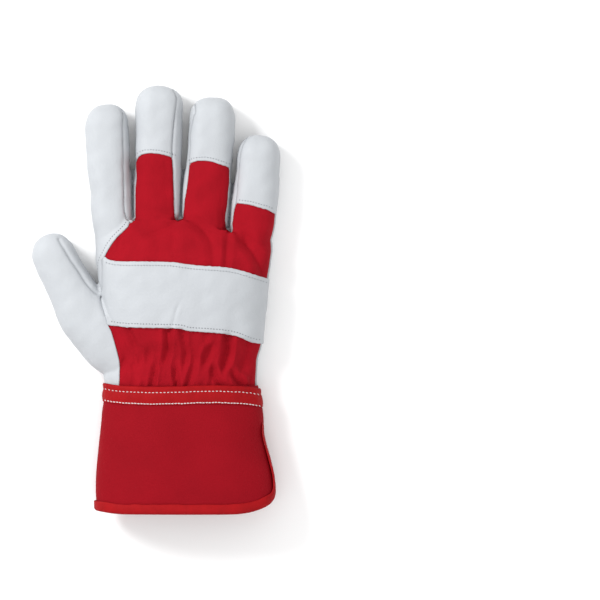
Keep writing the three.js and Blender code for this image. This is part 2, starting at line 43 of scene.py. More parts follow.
HAND, CUFF, PALM, WRIST = 188.0, 82.0, 112.0, -53.1
THICK = 36.0
FINGER_W, FINGER_T = 30.0, 25.0
THUMB_W, THUMB_T = 36.0, 28.0
SEAM = 11.5
SINK = 2.0
MOUTH_W, MOUTH_H = 115.0, 43.0
LEATHER, CLOTH, CUFF_WALL = 1.2, 1.0, 1.6
VOXEL = 0.72
GAP = 0.12
CLOTH_DROP = 0.75  # the cloth lies this much under the leather's outer face
PX = 0.6323  # mm across one pixel of the view from above
SLIT_LONG, SLIT_HALF = 51.0, 2.6
BAND_START = WRIST - 0.4
# Half of the wrist tab's outline, and of the stitches inside its edge.
TAB_HALF = [(40, -48), (40, -70), (38.5, -77.5), (34, -80.8), (27, -82), (0, -82)]
TAB_ROW_HALF = [(-37.6, -60), (-37.6, -70), (-36.3, -76.2), (-32.6, -78.8), (-26, -79.7), (0, -79.7)]
FLOOR_HALF, FLOOR_Z = 3.0, -0.0001  # m

rng = np.random.default_rng(11)

# across, along, width
FINGERS = {
    "index": [
        (-0.36, 0.33, 0.7), (-0.378, 0.41, 0.86), (-0.41, 0.575, 0.885), (-0.419, 0.655, 0.895),
        (-0.431, 0.74, 0.905), (-0.437, 0.8, 0.92), (-0.4455, 0.939, 0.925),
    ],
    "middle": [
        (-0.165, 0.41, 0.98), (-0.161, 0.568, 1.025), (-0.159, 0.655, 1.02), (-0.153, 0.74, 0.995),
        (-0.15, 0.8, 0.995), (-0.146, 1.001, 1.02),
    ],
    "ring": [
        (0.084, 0.41, 0.97), (0.109, 0.552, 1.025), (0.121, 0.655, 1.03), (0.135, 0.735, 0.97),
        (0.1435, 0.79, 0.975), (0.16, 0.965, 0.988),
    ],
    "little": [
        (0.29, 0.29, 0.76), (0.316, 0.377, 0.93), (0.3725, 0.511, 0.942), (0.39, 0.6, 1.0),
        (0.4065, 0.686, 0.95), (0.4215, 0.836, 0.925),
    ],
}
# across, along, width, height
THUMB = [
    (-0.285, 0.092, 1.05, 0.95), (-0.42, 0.143, 1.08, 1.0), (-0.556, 0.233, 0.985, 0.97),
    (-0.66, 0.338, 0.82, 0.9), (-0.798, 0.497, 0.71, 0.85),
]
# along, left, right, top, skew, square
SECTIONS = [
    (-0.048, -0.445, 0.398, 0.865, 0, 2.5), (-0.004, -0.447, 0.402, 0.87, 0, 2.5),
    (0.022, -0.46, 0.41, 0.865, 0, 2.5), (0.065, -0.455, 0.412, 0.84, 0, 2.5),
    (0.09, -0.452, 0.418, 0.822, 0, 2.5), (0.112, -0.454, 0.426, 0.86, 0, 2.5),
    (0.14, -0.456, 0.437, 0.93, 0, 2.5), (0.18, -0.46, 0.443, 0.97, 0, 2.5),
    (0.27, -0.472, 0.458, 1.0, 0, 2.6), (0.35, -0.492, 0.471, 1.0, 0, 2.7),
    (0.428, -0.506, 0.486, 0.95, 0.02, 2.9), (0.494, -0.51, 0.499, 0.82, 0.05, 3.2),
    (0.5545, -0.506, 0.497, 0.68, 0.08, 3.4),
]
# down, left, right, top, lift, seam
CUFF_SECTIONS = [
    (0.012, -0.438, 0.402, 0.765, 1, 0.29), (0.13, -0.446, 0.415, 0.765, 1, 0.295),
    (0.2, -0.4555, 0.428, 0.77, 1, 0.3), (0.28, -0.46, 0.434, 0.805, 1, 0.33),
    (0.39, -0.466, 0.4345, 0.85, 0.9, 0.356), (0.52, -0.4725, 0.455, 0.89, 0.5, 0.39),
    (0.71, -0.485, 0.483, 0.935, 0.15, 0.425), (0.83, -0.489, 0.494, 0.955, 0.04, 0.445),
    (1.0, -0.486, 0.495, 0.97, 0, 0.46),
]
# Folds in the back, seen from above: points in the view's pixels, depth mm, half width mm, and the
# ends that run out in the open.
CREASES = [
    ([(128, 329), (133, 340), (139, 354)], 1.6, 2.0, "bottom"),
    ([(126, 354), (125, 367)], 1.1, 1.2, "both"),
    ([(134, 360), (134, 370)], 1.0, 1.3, "both"),
    ([(141, 355), (141, 365)], 1.1, 1.3, "both"),
    ([(149, 346), (149, 367)], 1.3, 1.8, "both"),
    ([(158.5, 358), (155, 373), (152, 389)], 1.9, 1.6, "top"),
    ([(169, 328), (168.5, 350), (166, 360), (163.5, 369)], 2.3, 2.0, "bottom"),
    ([(160, 359), (163.5, 369)], 0.9, 1.2, "both"),
    ([(183, 329), (186.5, 350), (186, 360), (183.5, 371)], 1.6, 1.8, "bottom"),
    ([(176, 361), (177, 378), (178.5, 389)], 2.1, 1.6, "top"),
    ([(192, 334), (193, 350), (199, 368)], 1.0, 1.8, "both"),
    ([(195, 359), (193, 372), (187, 389)], 1.5, 1.8, "top"),
    ([(215, 342), (208, 355), (203, 372)], 2.1, 2.1, "both"),
    ([(206, 334), (207, 352)], 0.8, 2.0, "bottom"),
    ([(213, 360), (215, 373), (223, 389)], 2.1, 2.0, "top"),
    ([(213, 372), (212, 388)], 0.7, 1.8, "top"),
    ([(229, 334), (229, 350), (226, 362), (222.5, 374)], 2.7, 2.5, "bottom"),
    ([(231, 365), (236, 376), (247, 389)], 2.4, 2.2, "top"),
    ([(250, 341), (247, 360), (242, 375)], 2.0, 4.5, "bottom"),
    ([(252, 373), (252, 389)], 1.2, 1.8, "top"),
    ([(123, 357), (122.5, 379)], 0.6, 1.2, "both"),
    ([(134, 376), (133, 389)], 0.7, 1.6, "top"),
    ([(144.5, 378), (144, 389)], 0.8, 1.6, "top"),
    ([(203, 378), (202, 389)], 0.7, 1.5, "top"),
    ([(180, 219), (165, 228), (140, 237)], 0.8, 2.2, "bottom"),
    ([(187, 217), (196, 221.5), (204, 229), (211, 240), (214, 252), (214, 264)], 1.0, 3.0, "top"),
    ([(219, 231), (221, 246)], 0.6, 4.2, "both"),
    ([(229, 230), (228, 246), (227, 264)], 0.95, 2.0, "none"),
    ([(241, 228), (249, 244), (257, 256), (265, 273)], 1.8, 3.4, "top"),
    ([(224, 204), (226, 228)], 0.7, 2.5, "top"),
    ([(120, 230), (119, 251)], 0.5, 1.2, "both"),
    ([(173, 226), (175, 262)], 0.4, 2.6, "both"),
]
STRAP_CREASES = [([(181.5, 300), (177, 312), (173.5, 326)], 0.55, 1.1, "top")]
EDGES = {
    "indexToMiddle": [(-0.2955, 0.5), (-0.294, 0.74), (-0.294, 1.1)],
    "ringToLittle": [(0.262, 0.568), (0.274, 0.66), (0.298, 0.854), (0.312, 1.1)],
    "thumbToIndex": [(-1.1, 0.535), (-0.706, 0.531), (-0.559, 0.484), (-0.519, 0.4), (-0.486, 0.343)],
    "crotch": [(-0.4722, 0.3094)],
    "thumbOnBack": [
        (-0.4714, 0.2925), (-0.4658, 0.2757), (-0.446, 0.232), (-0.4319, 0.2017), (-0.4121, 0.1782),
        (-0.3924, 0.1378), (-0.3754, 0.0975), (-0.3658, 0.0638), (-0.3681, 0.0403), (-0.3737, -0.0102),
        (-0.38, -0.1),
    ],
    "thumbOnPalm": [
        (-0.492, 0.285), (-0.51, 0.22), (-0.522, 0.14), (-0.515, 0.06), (-0.5, 0.0), (-0.49, -0.1),
    ],
    "indexOnBack": [
        (-0.2955, 0.56), (-0.3105, 0.5414), (-0.3218, 0.528), (-0.3444, 0.5145), (-0.367, 0.501),
        (-0.3952, 0.4842), (-0.4234, 0.4607), (-0.4403, 0.4422), (-0.4516, 0.4271), (-0.4658, 0.4103),
        (-0.4725, 0.3766), (-0.4742, 0.343),
    ],
    "middleCap": [
        (-0.294, 0.745), (-0.2766, 0.7556), (-0.254, 0.7667), (-0.2202, 0.7741), (-0.1637, 0.7741),
        (-0.1073, 0.7684), (-0.0649, 0.76), (-0.011, 0.75),
    ],
    "ringCap": [
        (-0.0125, 0.734), (0.0254, 0.7415), (0.0621, 0.7483), (0.1073, 0.75), (0.1524, 0.7466),
        (0.2089, 0.7365), (0.2597, 0.7264), (0.279, 0.722),
    ],
    "littleCap": [
        (0.265, 0.609), (0.3331, 0.6053), (0.3782, 0.6003), (0.4234, 0.5926), (0.4686, 0.5852),
        (0.5109, 0.5734), (0.6, 0.55),
    ],
    "frontOnPalm": [
        (-0.2955, 0.517), (-0.264, 0.513), (-0.188, 0.519), (-0.107, 0.528), (-0.053, 0.528),
        (0.028, 0.52), (0.108, 0.508), (0.18, 0.503), (0.22, 0.507), (0.243, 0.518),
    ],
    "strapTop": [
        (-0.4516, 0.4271), (-0.4234, 0.417), (-0.367, 0.4103), (-0.254, 0.4096), (-0.0734, 0.4079),
        (0.0, 0.4018), (0.1073, 0.3951), (0.2428, 0.3894), (0.3331, 0.3773), (0.4234, 0.3605), (0.6, 0.329),
    ],
    "strapBottom": [
        (-0.4319, 0.2), (-0.3218, 0.1927), (-0.1637, 0.19), (-0.0282, 0.1883), (0.0282, 0.1799),
        (0.1524, 0.1748), (0.2428, 0.1691), (0.3105, 0.159), (0.367, 0.1446), (0.4347, 0.1355), (0.6, 0.112),
    ],
    "strapLeft": [
        (-0.446, 0.232), (-0.4658, 0.2757), (-0.4714, 0.3094), (-0.4742, 0.343), (-0.4725, 0.3766),
        (-0.4658, 0.4103),
    ],
    "thumbSeam": [
        (-0.7057, 0.4876), (-0.6831, 0.4641), (-0.6492, 0.4304), (-0.6154, 0.4002), (-0.5928, 0.3817),
        (-0.5702, 0.3598), (-0.5476, 0.3396), (-0.525, 0.3228), (-0.5024, 0.311), (-0.484, 0.304),
    ],
}
# Strips between the fingers: root and point as shares of the hand, and the two fingers.
SIDE_WALLS = {
    "index": (0.546, 0.905, "index", "middle"),
    "middle": (0.546, 0.96, "middle", "ring"),
    "ring": (0.504, 0.81, "ring", "little"),
}
# Their upper seams seen from above, in the view's pixels: down the one finger, round the crotch and up
# the other.
STRIPS = {
    "index": [
        (112, 101), (117, 104.5), (121.5, 109), (123.6, 115), (124.2, 122), (124, 135), (124, 150),
        (124.6, 165), (125, 180), (125, 195), (125.2, 208), (126.5, 215), (128.8, 220), (131.3, 222.3),
        (133.6, 220.5), (134.2, 216), (134.2, 200), (134.2, 165), (134.6, 150), (134.4, 130), (134, 100),
    ],
    "middle": [
        (168, 84), (172.5, 88.5), (176, 93.5), (177.3, 99.5), (177, 106), (176, 114), (174.8, 124),
        (173.6, 138), (173.3, 150), (174, 165), (174.6, 180), (175, 200), (175.4, 212), (176.5, 217.3),
        (179, 219.9), (181.5, 217.4), (182.8, 212), (183.8, 202), (185.6, 190), (187, 180), (188.3, 165),
        (189.2, 150), (189.4, 138), (190.3, 128), (192.5, 118), (195, 110), (190, 84),
    ],
    "ring": [
        (239.5, 112), (237, 143), (233.4, 155), (231.2, 168), (230.6, 180), (228.9, 200), (227.9, 212),
        (227.4, 222), (228, 228.5), (229.3, 231.5), (230.9, 229.3), (232, 221), (233, 212), (234.6, 205),
        (235.6, 198), (236.6, 185), (237.6, 168), (239.6, 152), (243, 143), (247, 137.5), (250, 132),
    ],
}
SIDE_LOW, SIDE_TAPER = 5.0, 34.0
SLIT_DEPTH = 6.0
# Where two fingers touch, from the crotch outwards, in the view's pixels.
WEBS = {
    "index": [(132.8, 222), (132.4, 170)], "middle": [(180.6, 222), (183.2, 170)],
    "ring": [(229.4, 236), (232.4, 184)],
}


# Plane geometry

def px(points):
    """Points of the view from above, in mm on the plan."""
    p = np.asarray(points, float)
    return np.stack([(p[:, 0] - 185) * PX, (300 - p[:, 1]) * PX], 1)


def plan(points):
    p = np.asarray(points, float)
    return np.stack([p[:, 0] * PALM, WRIST + p[:, 1] * HAND], 1)


def smooth_rows(rows, per=12):
    """Catmull-Rom through rows of numbers."""
    p = np.asarray(rows, float)
    e = np.vstack([2 * p[0] - p[1], p, 2 * p[-1] - p[-2]])
    out = []
    for i in range(len(p) - 1):
        a, b, c, d = e[i : i + 4]
        for t in np.arange(per) / per:
            square, cube = 2 * a - 5 * b + 4 * c - d, 3 * b - a - 3 * c + d
            out.append(0.5 * (2 * b + (c - a) * t + square * t**2 + cube * t**3))
    return np.vstack([out, p[-1]])


def mirrored(half):
    """A plan line with its other half, its last point being on the middle line."""
    return half + [(-x, y) for x, y in half[-2::-1]]


def run_along(line):
    """The length along a line up to each of its points."""
    return np.concatenate([[0], np.cumsum(np.linalg.norm(np.diff(line, axis=0), axis=1))])


def unit(v):
    return v / np.linalg.norm(v, axis=1, keepdims=True)


def edge(name, per=8):
    return smooth_rows(plan(EDGES[name]), per) if len(EDGES[name]) > 2 else plan(EDGES[name])


def to_line(xy, line):
    """Distance to a line of points, and which side: positive on the left of its direction."""
    best = np.full(len(xy), 1e9)
    side = np.zeros(len(xy))
    run = np.zeros(len(xy))
    total = 0.0
    for a, b in zip(line[:-1], line[1:]):
        d = b - a
        length = math.hypot(*d) + 1e-12
        w = xy - a
        t = np.clip((w @ d) / length**2, 0, 1)
        off = w - t[:, None] * d
        dist = np.hypot(off[:, 0], off[:, 1])
        cross = d[0] * w[:, 1] - d[1] * w[:, 0]
        near = dist < best - 1e-9
        best = np.where(near, dist, best)
        side = np.where(near, np.sign(cross), side)
        run = np.where(near, total + t * length, run)
        total += length
    return best, side * best, run


def inside(xy, outline):
    """Distance to a closed outline, positive inside."""
    ring = np.vstack([outline, outline[:1]])
    dist = to_line(xy, ring)[0]
    odd = np.zeros(len(xy), bool)
    for a, b in zip(ring[:-1], ring[1:]):
        if a[1] == b[1]:
            continue
        hit = (a[1] > xy[:, 1]) != (b[1] > xy[:, 1])
        x = (b[0] - a[0]) * (xy[:, 1] - a[1]) / (b[1] - a[1]) + a[0]
        odd ^= hit & (xy[:, 0] < x)
    return np.where(odd, dist, -dist)


def shifted(line, away):
    """A plan line moved sideways, to its left where away is positive."""
    d = np.gradient(line, axis=0)
    d /= np.linalg.norm(d, axis=1, keepdims=True)
    return line + np.stack([-d[:, 1], d[:, 0]], 1) * away


def trimmed(line, lo, hi):
    run = run_along(line)
    s = np.linspace(lo, run[-1] - hi, 60)
    return np.stack([np.interp(s, run, line[:, 0]), np.interp(s, run, line[:, 1])], 1)


def step(x, a, b):
    t = np.clip((x - a) / (b - a), 0, 1)
    return t * t * (3 - 2 * t)


def waves(x, y, size, count, seed):
    """A smooth random field about -1 to 1."""
    r = np.random.default_rng(seed)
    total = np.zeros(np.shape(x))
    for _ in range(count):
        a = r.uniform(0, 2 * math.pi)
        k = 2 * math.pi / (size * r.uniform(0.7, 1.6))
        total = total + np.sin(k * (x * math.cos(a) + y * math.sin(a)) + r.uniform(0, 6.3))
    return total / math.sqrt(count)


# Meshes

def normals_of(v, f):
    n = np.zeros_like(v)
    c = np.cross(v[f[:, 1]] - v[f[:, 0]], v[f[:, 2]] - v[f[:, 0]])
    for k in range(3):
        np.add.at(n, f[:, k], c)
    return n / (np.linalg.norm(n, axis=1, keepdims=True) + 1e-12)


def relax(v, f, rounds, share=0.5, weight=None):
    """Moves each point towards the mean of its neighbours."""
    e = np.vstack([f[:, [0, 1]], f[:, [1, 2]], f[:, [2, 0]]])
    e = np.unique(np.sort(e, 1), axis=0)
    n = len(v)
    degree = np.bincount(e.ravel(), minlength=n).astype(float)
    for _ in range(rounds):
        s = np.stack(
            [
                np.bincount(e[:, 0], v[e[:, 1], k], n) + np.bincount(e[:, 1], v[e[:, 0], k], n)
                for k in range(v.shape[1])
            ],
            1,
        )
        move = share * (s / np.maximum(degree, 1)[:, None] - v)
        v = v + (move if weight is None else move * weight[:, None])
    return v


def clip(v, f, phi, extra):
    """The part of a mesh where phi is above 0, with extra values carried along."""
    phi = np.where(np.abs(phi) < 0.02, 0.02, phi)
    ok = phi > 0
    count = ok[f].sum(1)
    whole = f[count == 3]
    data = np.hstack([v, extra])
    faces = [whole]
    base = len(v)
    edges = []
    for want in (1, 2):
        part = f[count == want]
        if not len(part):
            continue
        odd = ok[part] if want == 1 else ~ok[part]
        first = odd.argmax(1)
        part = np.stack([part[np.arange(len(part)), (first + k) % 3] for k in range(3)], 1)
        edges.append((want, part))
    all_pairs = np.vstack([np.vstack([p[:, [0, 1]], p[:, [0, 2]]]) for _, p in edges])
    pairs, back = np.unique(np.sort(all_pairs, 1), axis=0, return_inverse=True)
    back = back.ravel()
    t = phi[pairs[:, 0]] / (phi[pairs[:, 0]] - phi[pairs[:, 1]])
    rows = data[pairs[:, 0]] + t[:, None] * (data[pairs[:, 1]] - data[pairs[:, 0]])
    at = 0
    for want, part in edges:
        n = len(part)
        ab = base + back[at : at + n]
        ac = base + back[at + n : at + 2 * n]
        at += 2 * n
        if want == 1:
            faces.append(np.stack([part[:, 0], ab, ac], 1))
        else:
            faces.append(np.stack([ab, part[:, 1], part[:, 2]], 1))
            faces.append(np.stack([ab, part[:, 2], ac], 1))
    data = np.vstack([data, rows])
    f = np.vstack(faces)
    used, f = np.unique(f, return_inverse=True)
    f = f.reshape(-1, 3)
    data = data[used]
    keep = largest(f, len(data))
    f = f[keep]
    used, f = np.unique(f, return_inverse=True)
    return data[used, :3], f.reshape(-1, 3), data[used, 3:]


def largest(f, n, share=0.04):
    """Faces of the parts of a mesh that are not crumbs."""
    label = np.arange(n)
    while True:
        low = label[f].min(1)
        new = label.copy()
        for k in range(3):
            np.minimum.at(new, f[:, k], low)
        new = new[new]
        if (new == label).all():
            break
        label = new
    part = label[f[:, 0]]
    names, counts = np.unique(part, return_counts=True)
    return np.isin(part, names[counts > share * len(f)])


def rim_of(f):
    """Directed edges that only one face uses."""
    e = np.vstack([f[:, [0, 1]], f[:, [1, 2]], f[:, [2, 0]]])
    key = np.sort(e, 1)
    _, at, count = np.unique(key, axis=0, return_index=True, return_counts=True)
    return e[at[count == 1]]


def thicken(v, f, n, out, into, round_by=0.3, dip=0.15):
    """A wall between two offsets of an open mesh, its rim rounded and its outer face eased down there."""
    rim = rim_of(f)
    ids = np.unique(rim)
    away = np.zeros_like(v)
    t = v[rim[:, 1]] - v[rim[:, 0]]
    for k in (0, 1):
        np.add.at(away, rim[:, k], np.cross(t, n[rim[:, k]]))
    away /= np.linalg.norm(away, axis=1, keepdims=True) + 1e-9
    out, into, dip = (np.broadcast_to(q, len(v)) for q in (out, into, dip))
    top = v + n * out[:, None]
    bottom = v + n * into[:, None]
    top[ids] -= n[ids] * dip[ids][:, None]
    middle = 0.5 * (top[ids] + bottom[ids]) + away[ids] * round_by
    place = np.full(len(v), -1)
    place[ids] = np.arange(len(ids)) + 2 * len(v)
    low = len(v)
    a, b = rim[:, 0], rim[:, 1]
    sides = [
        np.stack([b, a, place[a]], 1), np.stack([b, place[a], place[b]], 1),
        np.stack([place[b], place[a], a + low], 1), np.stack([place[b], a + low, b + low], 1),
    ]
    faces = np.vstack([f, f[:, ::-1] + low] + sides)
    return np.vstack([top, bottom, middle]), faces


def add_mesh(name, v, f, material, sharp=None):
    """A mesh object from points in mm."""
    mesh = bpy.data.meshes.new(name)
    mesh.vertices.add(len(v))
    mesh.vertices.foreach_set("co", (np.asarray(v, np.float32) * 0.001).ravel())
    f = np.asarray(f, np.int32)
    k = f.shape[1]
    mesh.loops.add(f.size)
    mesh.loops.foreach_set("vertex_index", f.ravel())
    mesh.polygons.add(len(f))
    mesh.polygons.foreach_set("loop_start", np.arange(0, f.size, k, dtype=np.int32))
    mesh.polygons.foreach_set("use_smooth", np.ones(len(f), bool))
    mesh.update(calc_edges=True)
    mesh.validate()
    if sharp:
        mesh.set_sharp_from_angle(angle=math.radians(sharp))
    mesh.materials.append(material)
    obj = bpy.data.objects.new(name, mesh)
    bpy.context.scene.collection.objects.link(obj)
    return obj


def join_parts(parts):
    v, f, at = [], [], 0
    for pv, pf in parts:
        v.append(pv)
        f.append(pf + at)
        at += len(pv)
    return np.vstack(v), np.vstack(f)


def lofted(rings, start, end):
    n = rings.shape[1]
    m = rings.shape[0]
    v = np.vstack([rings.reshape(-1, 3), start, end])
    j = np.arange(n)
    nx = (j + 1) % n
    faces = []
    for i in range(m - 1):
        a, b = i * n + j, i * n + nx
        faces += [np.stack([a, b, b + n], 1), np.stack([a, b + n, a + n], 1)]
    faces.append(np.stack([np.full(n, m * n), nx, j], 1))
    faces.append(np.stack([np.full(n, m * n + 1), (m - 1) * n + j, (m - 1) * n + nx], 1))
    f = np.vstack(faces)
    return v, facing_out(v, f)


def facing_out(v, f):
    volume = np.einsum("ij,ij->i", v[f[:, 0]], np.cross(v[f[:, 1]], v[f[:, 2]])).sum()
    return f if volume > 0 else f[:, ::-1]


def closed_loop(rings):
    """A tube that closes on itself, from the rings of points along it."""
    m, n = rings.shape[:2]
    here = np.arange(m * n).reshape(m, n)
    down, right = np.roll(here, -1, 0), np.roll(here, -1, 1)
    both = np.roll(down, -1, 1)
    pairs = (here, right, both), (here, both, down)
    f = np.concatenate([np.stack(pair, -1).reshape(-1, 3) for pair in pairs])
    v = rings.reshape(-1, 3)
    return v, facing_out(v, f)


# The form of the hand

def digit(rows, tip, flat=2.5, sides=56, square=2.4):
    """A rounded tube through rows of x, y, half width and height."""
    path = smooth_rows(rows, 16)
    run = run_along(path[:, :2])
    length = run[-1]
    shoulder = length - tip
    bend = np.sin(np.linspace(0.1, math.pi / 2 - 0.02, 12))
    at = list(np.linspace(0, shoulder, 40)) + [shoulder + tip * s for s in bend]
    scale = [1.0] * 40 + [(1 - s**square) ** (1 / square) for s in bend]
    turn = np.arange(sides) * 2 * math.pi / sides
    c, s = np.cos(turn), np.sin(turn)
    rings = []
    for d, k in zip(at, scale):
        x, y, half, height = (np.interp(d, run, path[:, q]) for q in range(4))
        fore, aft = min(d + 0.5, length), min(d, length - 0.5)
        ahead = [np.interp(fore, run, path[:, q]) - np.interp(aft, run, path[:, q]) for q in (0, 1)]
        tx, ty = np.array(ahead) / math.hypot(*ahead)
        u = np.sign(c) * np.abs(c) ** (2 / flat) * half * k
        rise = np.where(s > 0, height - SEAM, SEAM + SINK)
        w = np.sign(s) * np.abs(s) ** (2 / flat) * rise * k
        rings.append(np.stack([x + ty * u, y - tx * u, np.maximum(0, SEAM + w)], 1))
    rings = np.array(rings)
    end = np.array([np.interp(length, run, path[:, 0]), np.interp(length, run, path[:, 1]), SEAM])
    start = np.array([path[0, 0], path[0, 1], SEAM])
    return lofted(rings, start, end)


def hand_body():
    rows = np.array(SECTIONS)
    along = np.arange(rows[0, 0], rows[-1, 0] + 1e-6, 0.008)
    along[-1] = rows[-1, 0]
    dense = np.stack([np.interp(along, rows[:, 0], rows[:, k]) for k in range(6)], 1)
    for k in range(1, 6):
        col = np.pad(dense[:, k], 2, "edge")
        dense[:, k] = sum(col[i : i + len(along)] * w for i, w in enumerate((1, 2, 3, 2, 1))) / 9
    rings = []
    even = np.linspace(1, -1, 91)[:-1]
    share_top = 0.6 * even + 0.4 * np.sin(math.pi * even / 2)
    share_low = -np.cos(math.pi * np.arange(60) / 60)
    for a, left, right, top, skew, square in dense:
        half, middle = (right - left) * PALM / 2, (right + left) * PALM / 2
        y = WRIST + a * HAND
        arch = lambda q: (1 - np.abs(q) ** square) ** (1 / square)
        zt = SEAM + (top * THICK - SEAM) * arch(share_top)
        zl = np.maximum(0, SEAM - (SEAM + SINK) * arch(share_low))
        share = np.concatenate([share_top, share_low])
        slant = np.maximum(0, share) * skew * HAND
        rings.append(np.stack([middle + share * half, y - slant, np.concatenate([zt, zl])], 1))
    rings = np.array(rings)
    start = rings[0].mean(0)
    end = rings[-1].mean(0)
    return lofted(rings, start, end)


def box(lo, hi):
    x = np.array([[lo[0], lo[1], lo[2]], [hi[0], lo[1], lo[2]], [hi[0], hi[1], lo[2]], [lo[0], hi[1], lo[2]]])
    y = x + [0, 0, hi[2] - lo[2]]
    f = [[0, 2, 1], [0, 3, 2], [4, 5, 6], [4, 6, 7]]
    for i in range(4):
        j = (i + 1) % 4
        f += [[i, j, j + 4], [i, j + 4, i + 4]]
    return np.vstack([x, y]).astype(float), np.array(f)


def voxel_union(parts, size):
    v, f = join_parts(parts)
    obj = add_mesh("form_source", v * 1000, f, bpy.data.materials.new("none"))
    mod = obj.modifiers.new("remesh", "REMESH")
    mod.mode = "VOXEL"
    mod.voxel_size = size
    dg = bpy.context.evaluated_depsgraph_get()
    got = obj.evaluated_get(dg).to_mesh()
    v = np.empty(len(got.vertices) * 3, np.float32)
    got.vertices.foreach_get("co", v)
    v = v.reshape(-1, 3).astype(float)
    got.calc_loop_triangles()
    f = np.empty(len(got.loop_triangles) * 3, np.int32)
    got.loop_triangles.foreach_get("vertices", f)
    obj.evaluated_get(dg).to_mesh_clear()
    mesh = obj.data
    bpy.data.objects.remove(obj)
    bpy.data.meshes.remove(mesh)
    return v, f.reshape(-1, 3)


def finger_rows(name):
    p = plan([(a, b) for a, b, _ in FINGERS[name]])
    return [(x, y, w * FINGER_W / 2, FINGER_T) for (x, y), (_, _, w) in zip(p, FINGERS[name])]


def thumb_rows():
    p = plan([(a, b) for a, b, _, _ in THUMB])
    return [(x, y, w * THUMB_W / 2, t * THUMB_T) for (x, y), (_, _, w, t) in zip(p, THUMB)]


parts = [digit(finger_rows(n), 15.0, square=2.7 if n == "middle" else 2.4) for n in FINGERS]
parts.append(digit(thumb_rows(), 14.0, flat=2.3))
parts.append(hand_body())
parts.append(box((-42.0, -84.0, 0.0), (42.0, WRIST - 0.1, 4.0)))
for near, far in WEBS.values():
    (x0, y0), (x1, y1) = px([near, far])
    v, f = box((-1.7, y0, 5.7), (1.7, y1, 13.0))
    v[:, 0] += np.interp(v[:, 1], [y0, y1], [x0, x1])
    parts.append((v, f))
V, F = voxel_union(parts, VOXEL)
for _ in range(9):
    V = relax(relax(V, F, 1, 0.5), F, 1, -0.53)  # smooths without shrinking
V[:, 2] -= V[:, 2].min()

# Fields over the form

N = normals_of(V, F)
xy = V[:, :2]
lift = V[:, 2] - SEAM
upper = step(N[:, 2], 0.0, 0.35)

lateral = {}
for name in FINGERS:
    line = smooth_rows(plan([(a, b) for a, b, _ in FINGERS[name]]), 12)
    first = line[0] - (line[1] - line[0]) * 40
    last = line[-1] + (line[-1] - line[-2]) * 40
    lateral[name] = -to_line(xy, np.vstack([first, line, last]))[1]


def side_wall_field(name):
    """Positive on the strip between two fingers, with the distances inside its upper and lower seams."""
    root, point, left, right = SIDE_WALLS[name]
    root_y, point_y = WRIST + root * HAND, WRIST + point * HAND
    along = np.clip((V[:, 1] - point_y + SIDE_TAPER) / SIDE_TAPER, 0, 1.2)
    close = np.interp(along, [0, 0.55, 0.8, 0.93, 1, 1.2], [0, 0.05, 0.2, 0.45, 0.85, 1.8])
    a, b = lateral[left], -lateral[right]
    low = SIDE_LOW + (SEAM - SIDE_LOW) * close
    round_root = 0.12 * np.clip(np.abs(a - b) / 2, 0, 6) ** 2
    window = np.minimum(np.minimum(a, b), V[:, 1] - root_y - round_root)
    above = inside(xy, smooth_rows(px(STRIPS[name]), 5))
    below = np.minimum(V[:, 2] - low, window)
    share = step(lift, -1.5, 1.5)
    return above * share + below * (1 - share), above, below


side = {name: side_wall_field(name) for name in SIDE_WALLS}


def outline(*lines):
    return np.vstack(lines)


P = lambda *q: plan(list(q))
regions = {
    "thumbOnBack": outline(edge("thumbToIndex"), P(*EDGES["crotch"]), edge("thumbOnBack"), P((-1.1, -0.1))),
    "thumbOnPalm": outline(edge("thumbToIndex"), P(*EDGES["crotch"]), edge("thumbOnPalm"), P((-1.1, -0.1))),
    "indexOnBack": outline(
        P((-0.294, 1.1), (-0.294, 0.74)), edge("indexOnBack"), P(*EDGES["crotch"]),
        edge("thumbToIndex")[::-1], P((-1.1, 1.1)),
    ),
    "middleCap": outline(edge("middleCap"), P((0.006, 1.1), (-0.294, 1.1))),
    "ringCap": outline(edge("ringCap"), P((0.298, 0.854), (0.312, 1.1), (0.006, 1.1))),
    "littleCap": outline(edge("littleCap"), P((0.6, 1.1), (0.312, 1.1), (0.298, 0.854), (0.274, 0.66))),
    "frontOnPalm": outline(edge("frontOnPalm"), edge("ringToLittle"), edge("indexToMiddle")[::-1]),
    "strap": outline(edge("strapTop"), edge("strapBottom")[::-1], edge("strapLeft")),
}
rough = 0.07 * waves(V[:, 0], V[:, 1], 6.0, 7, 3) + 0.07 * waves(V[:, 0], V[:, 1], 2.2, 7, 4)
R = {k: inside(xy, o) for k, o in regions.items()}


def top_piece(name, wobble=0.0):
    field = np.minimum(R[name] + wobble * rough, lift)
    for s in side.values():
        field = np.minimum(field, -s[0])
    return field


side_room = np.max([s[0] for s in side.values()], 0)
thumb_field = np.maximum(
    np.minimum(R["thumbOnBack"], lift), np.minimum(R["thumbOnPalm"], 0.6 - lift)
)
wrist_cut = V[:, 1] - (WRIST - 7.0)

# Seams and creases pressed into the form

deep = np.zeros(len(V))


def press(distance, depth, width, where=1.0):
    global deep
    deep = deep + depth * np.exp(-np.abs(distance / width) ** 1.6) * where


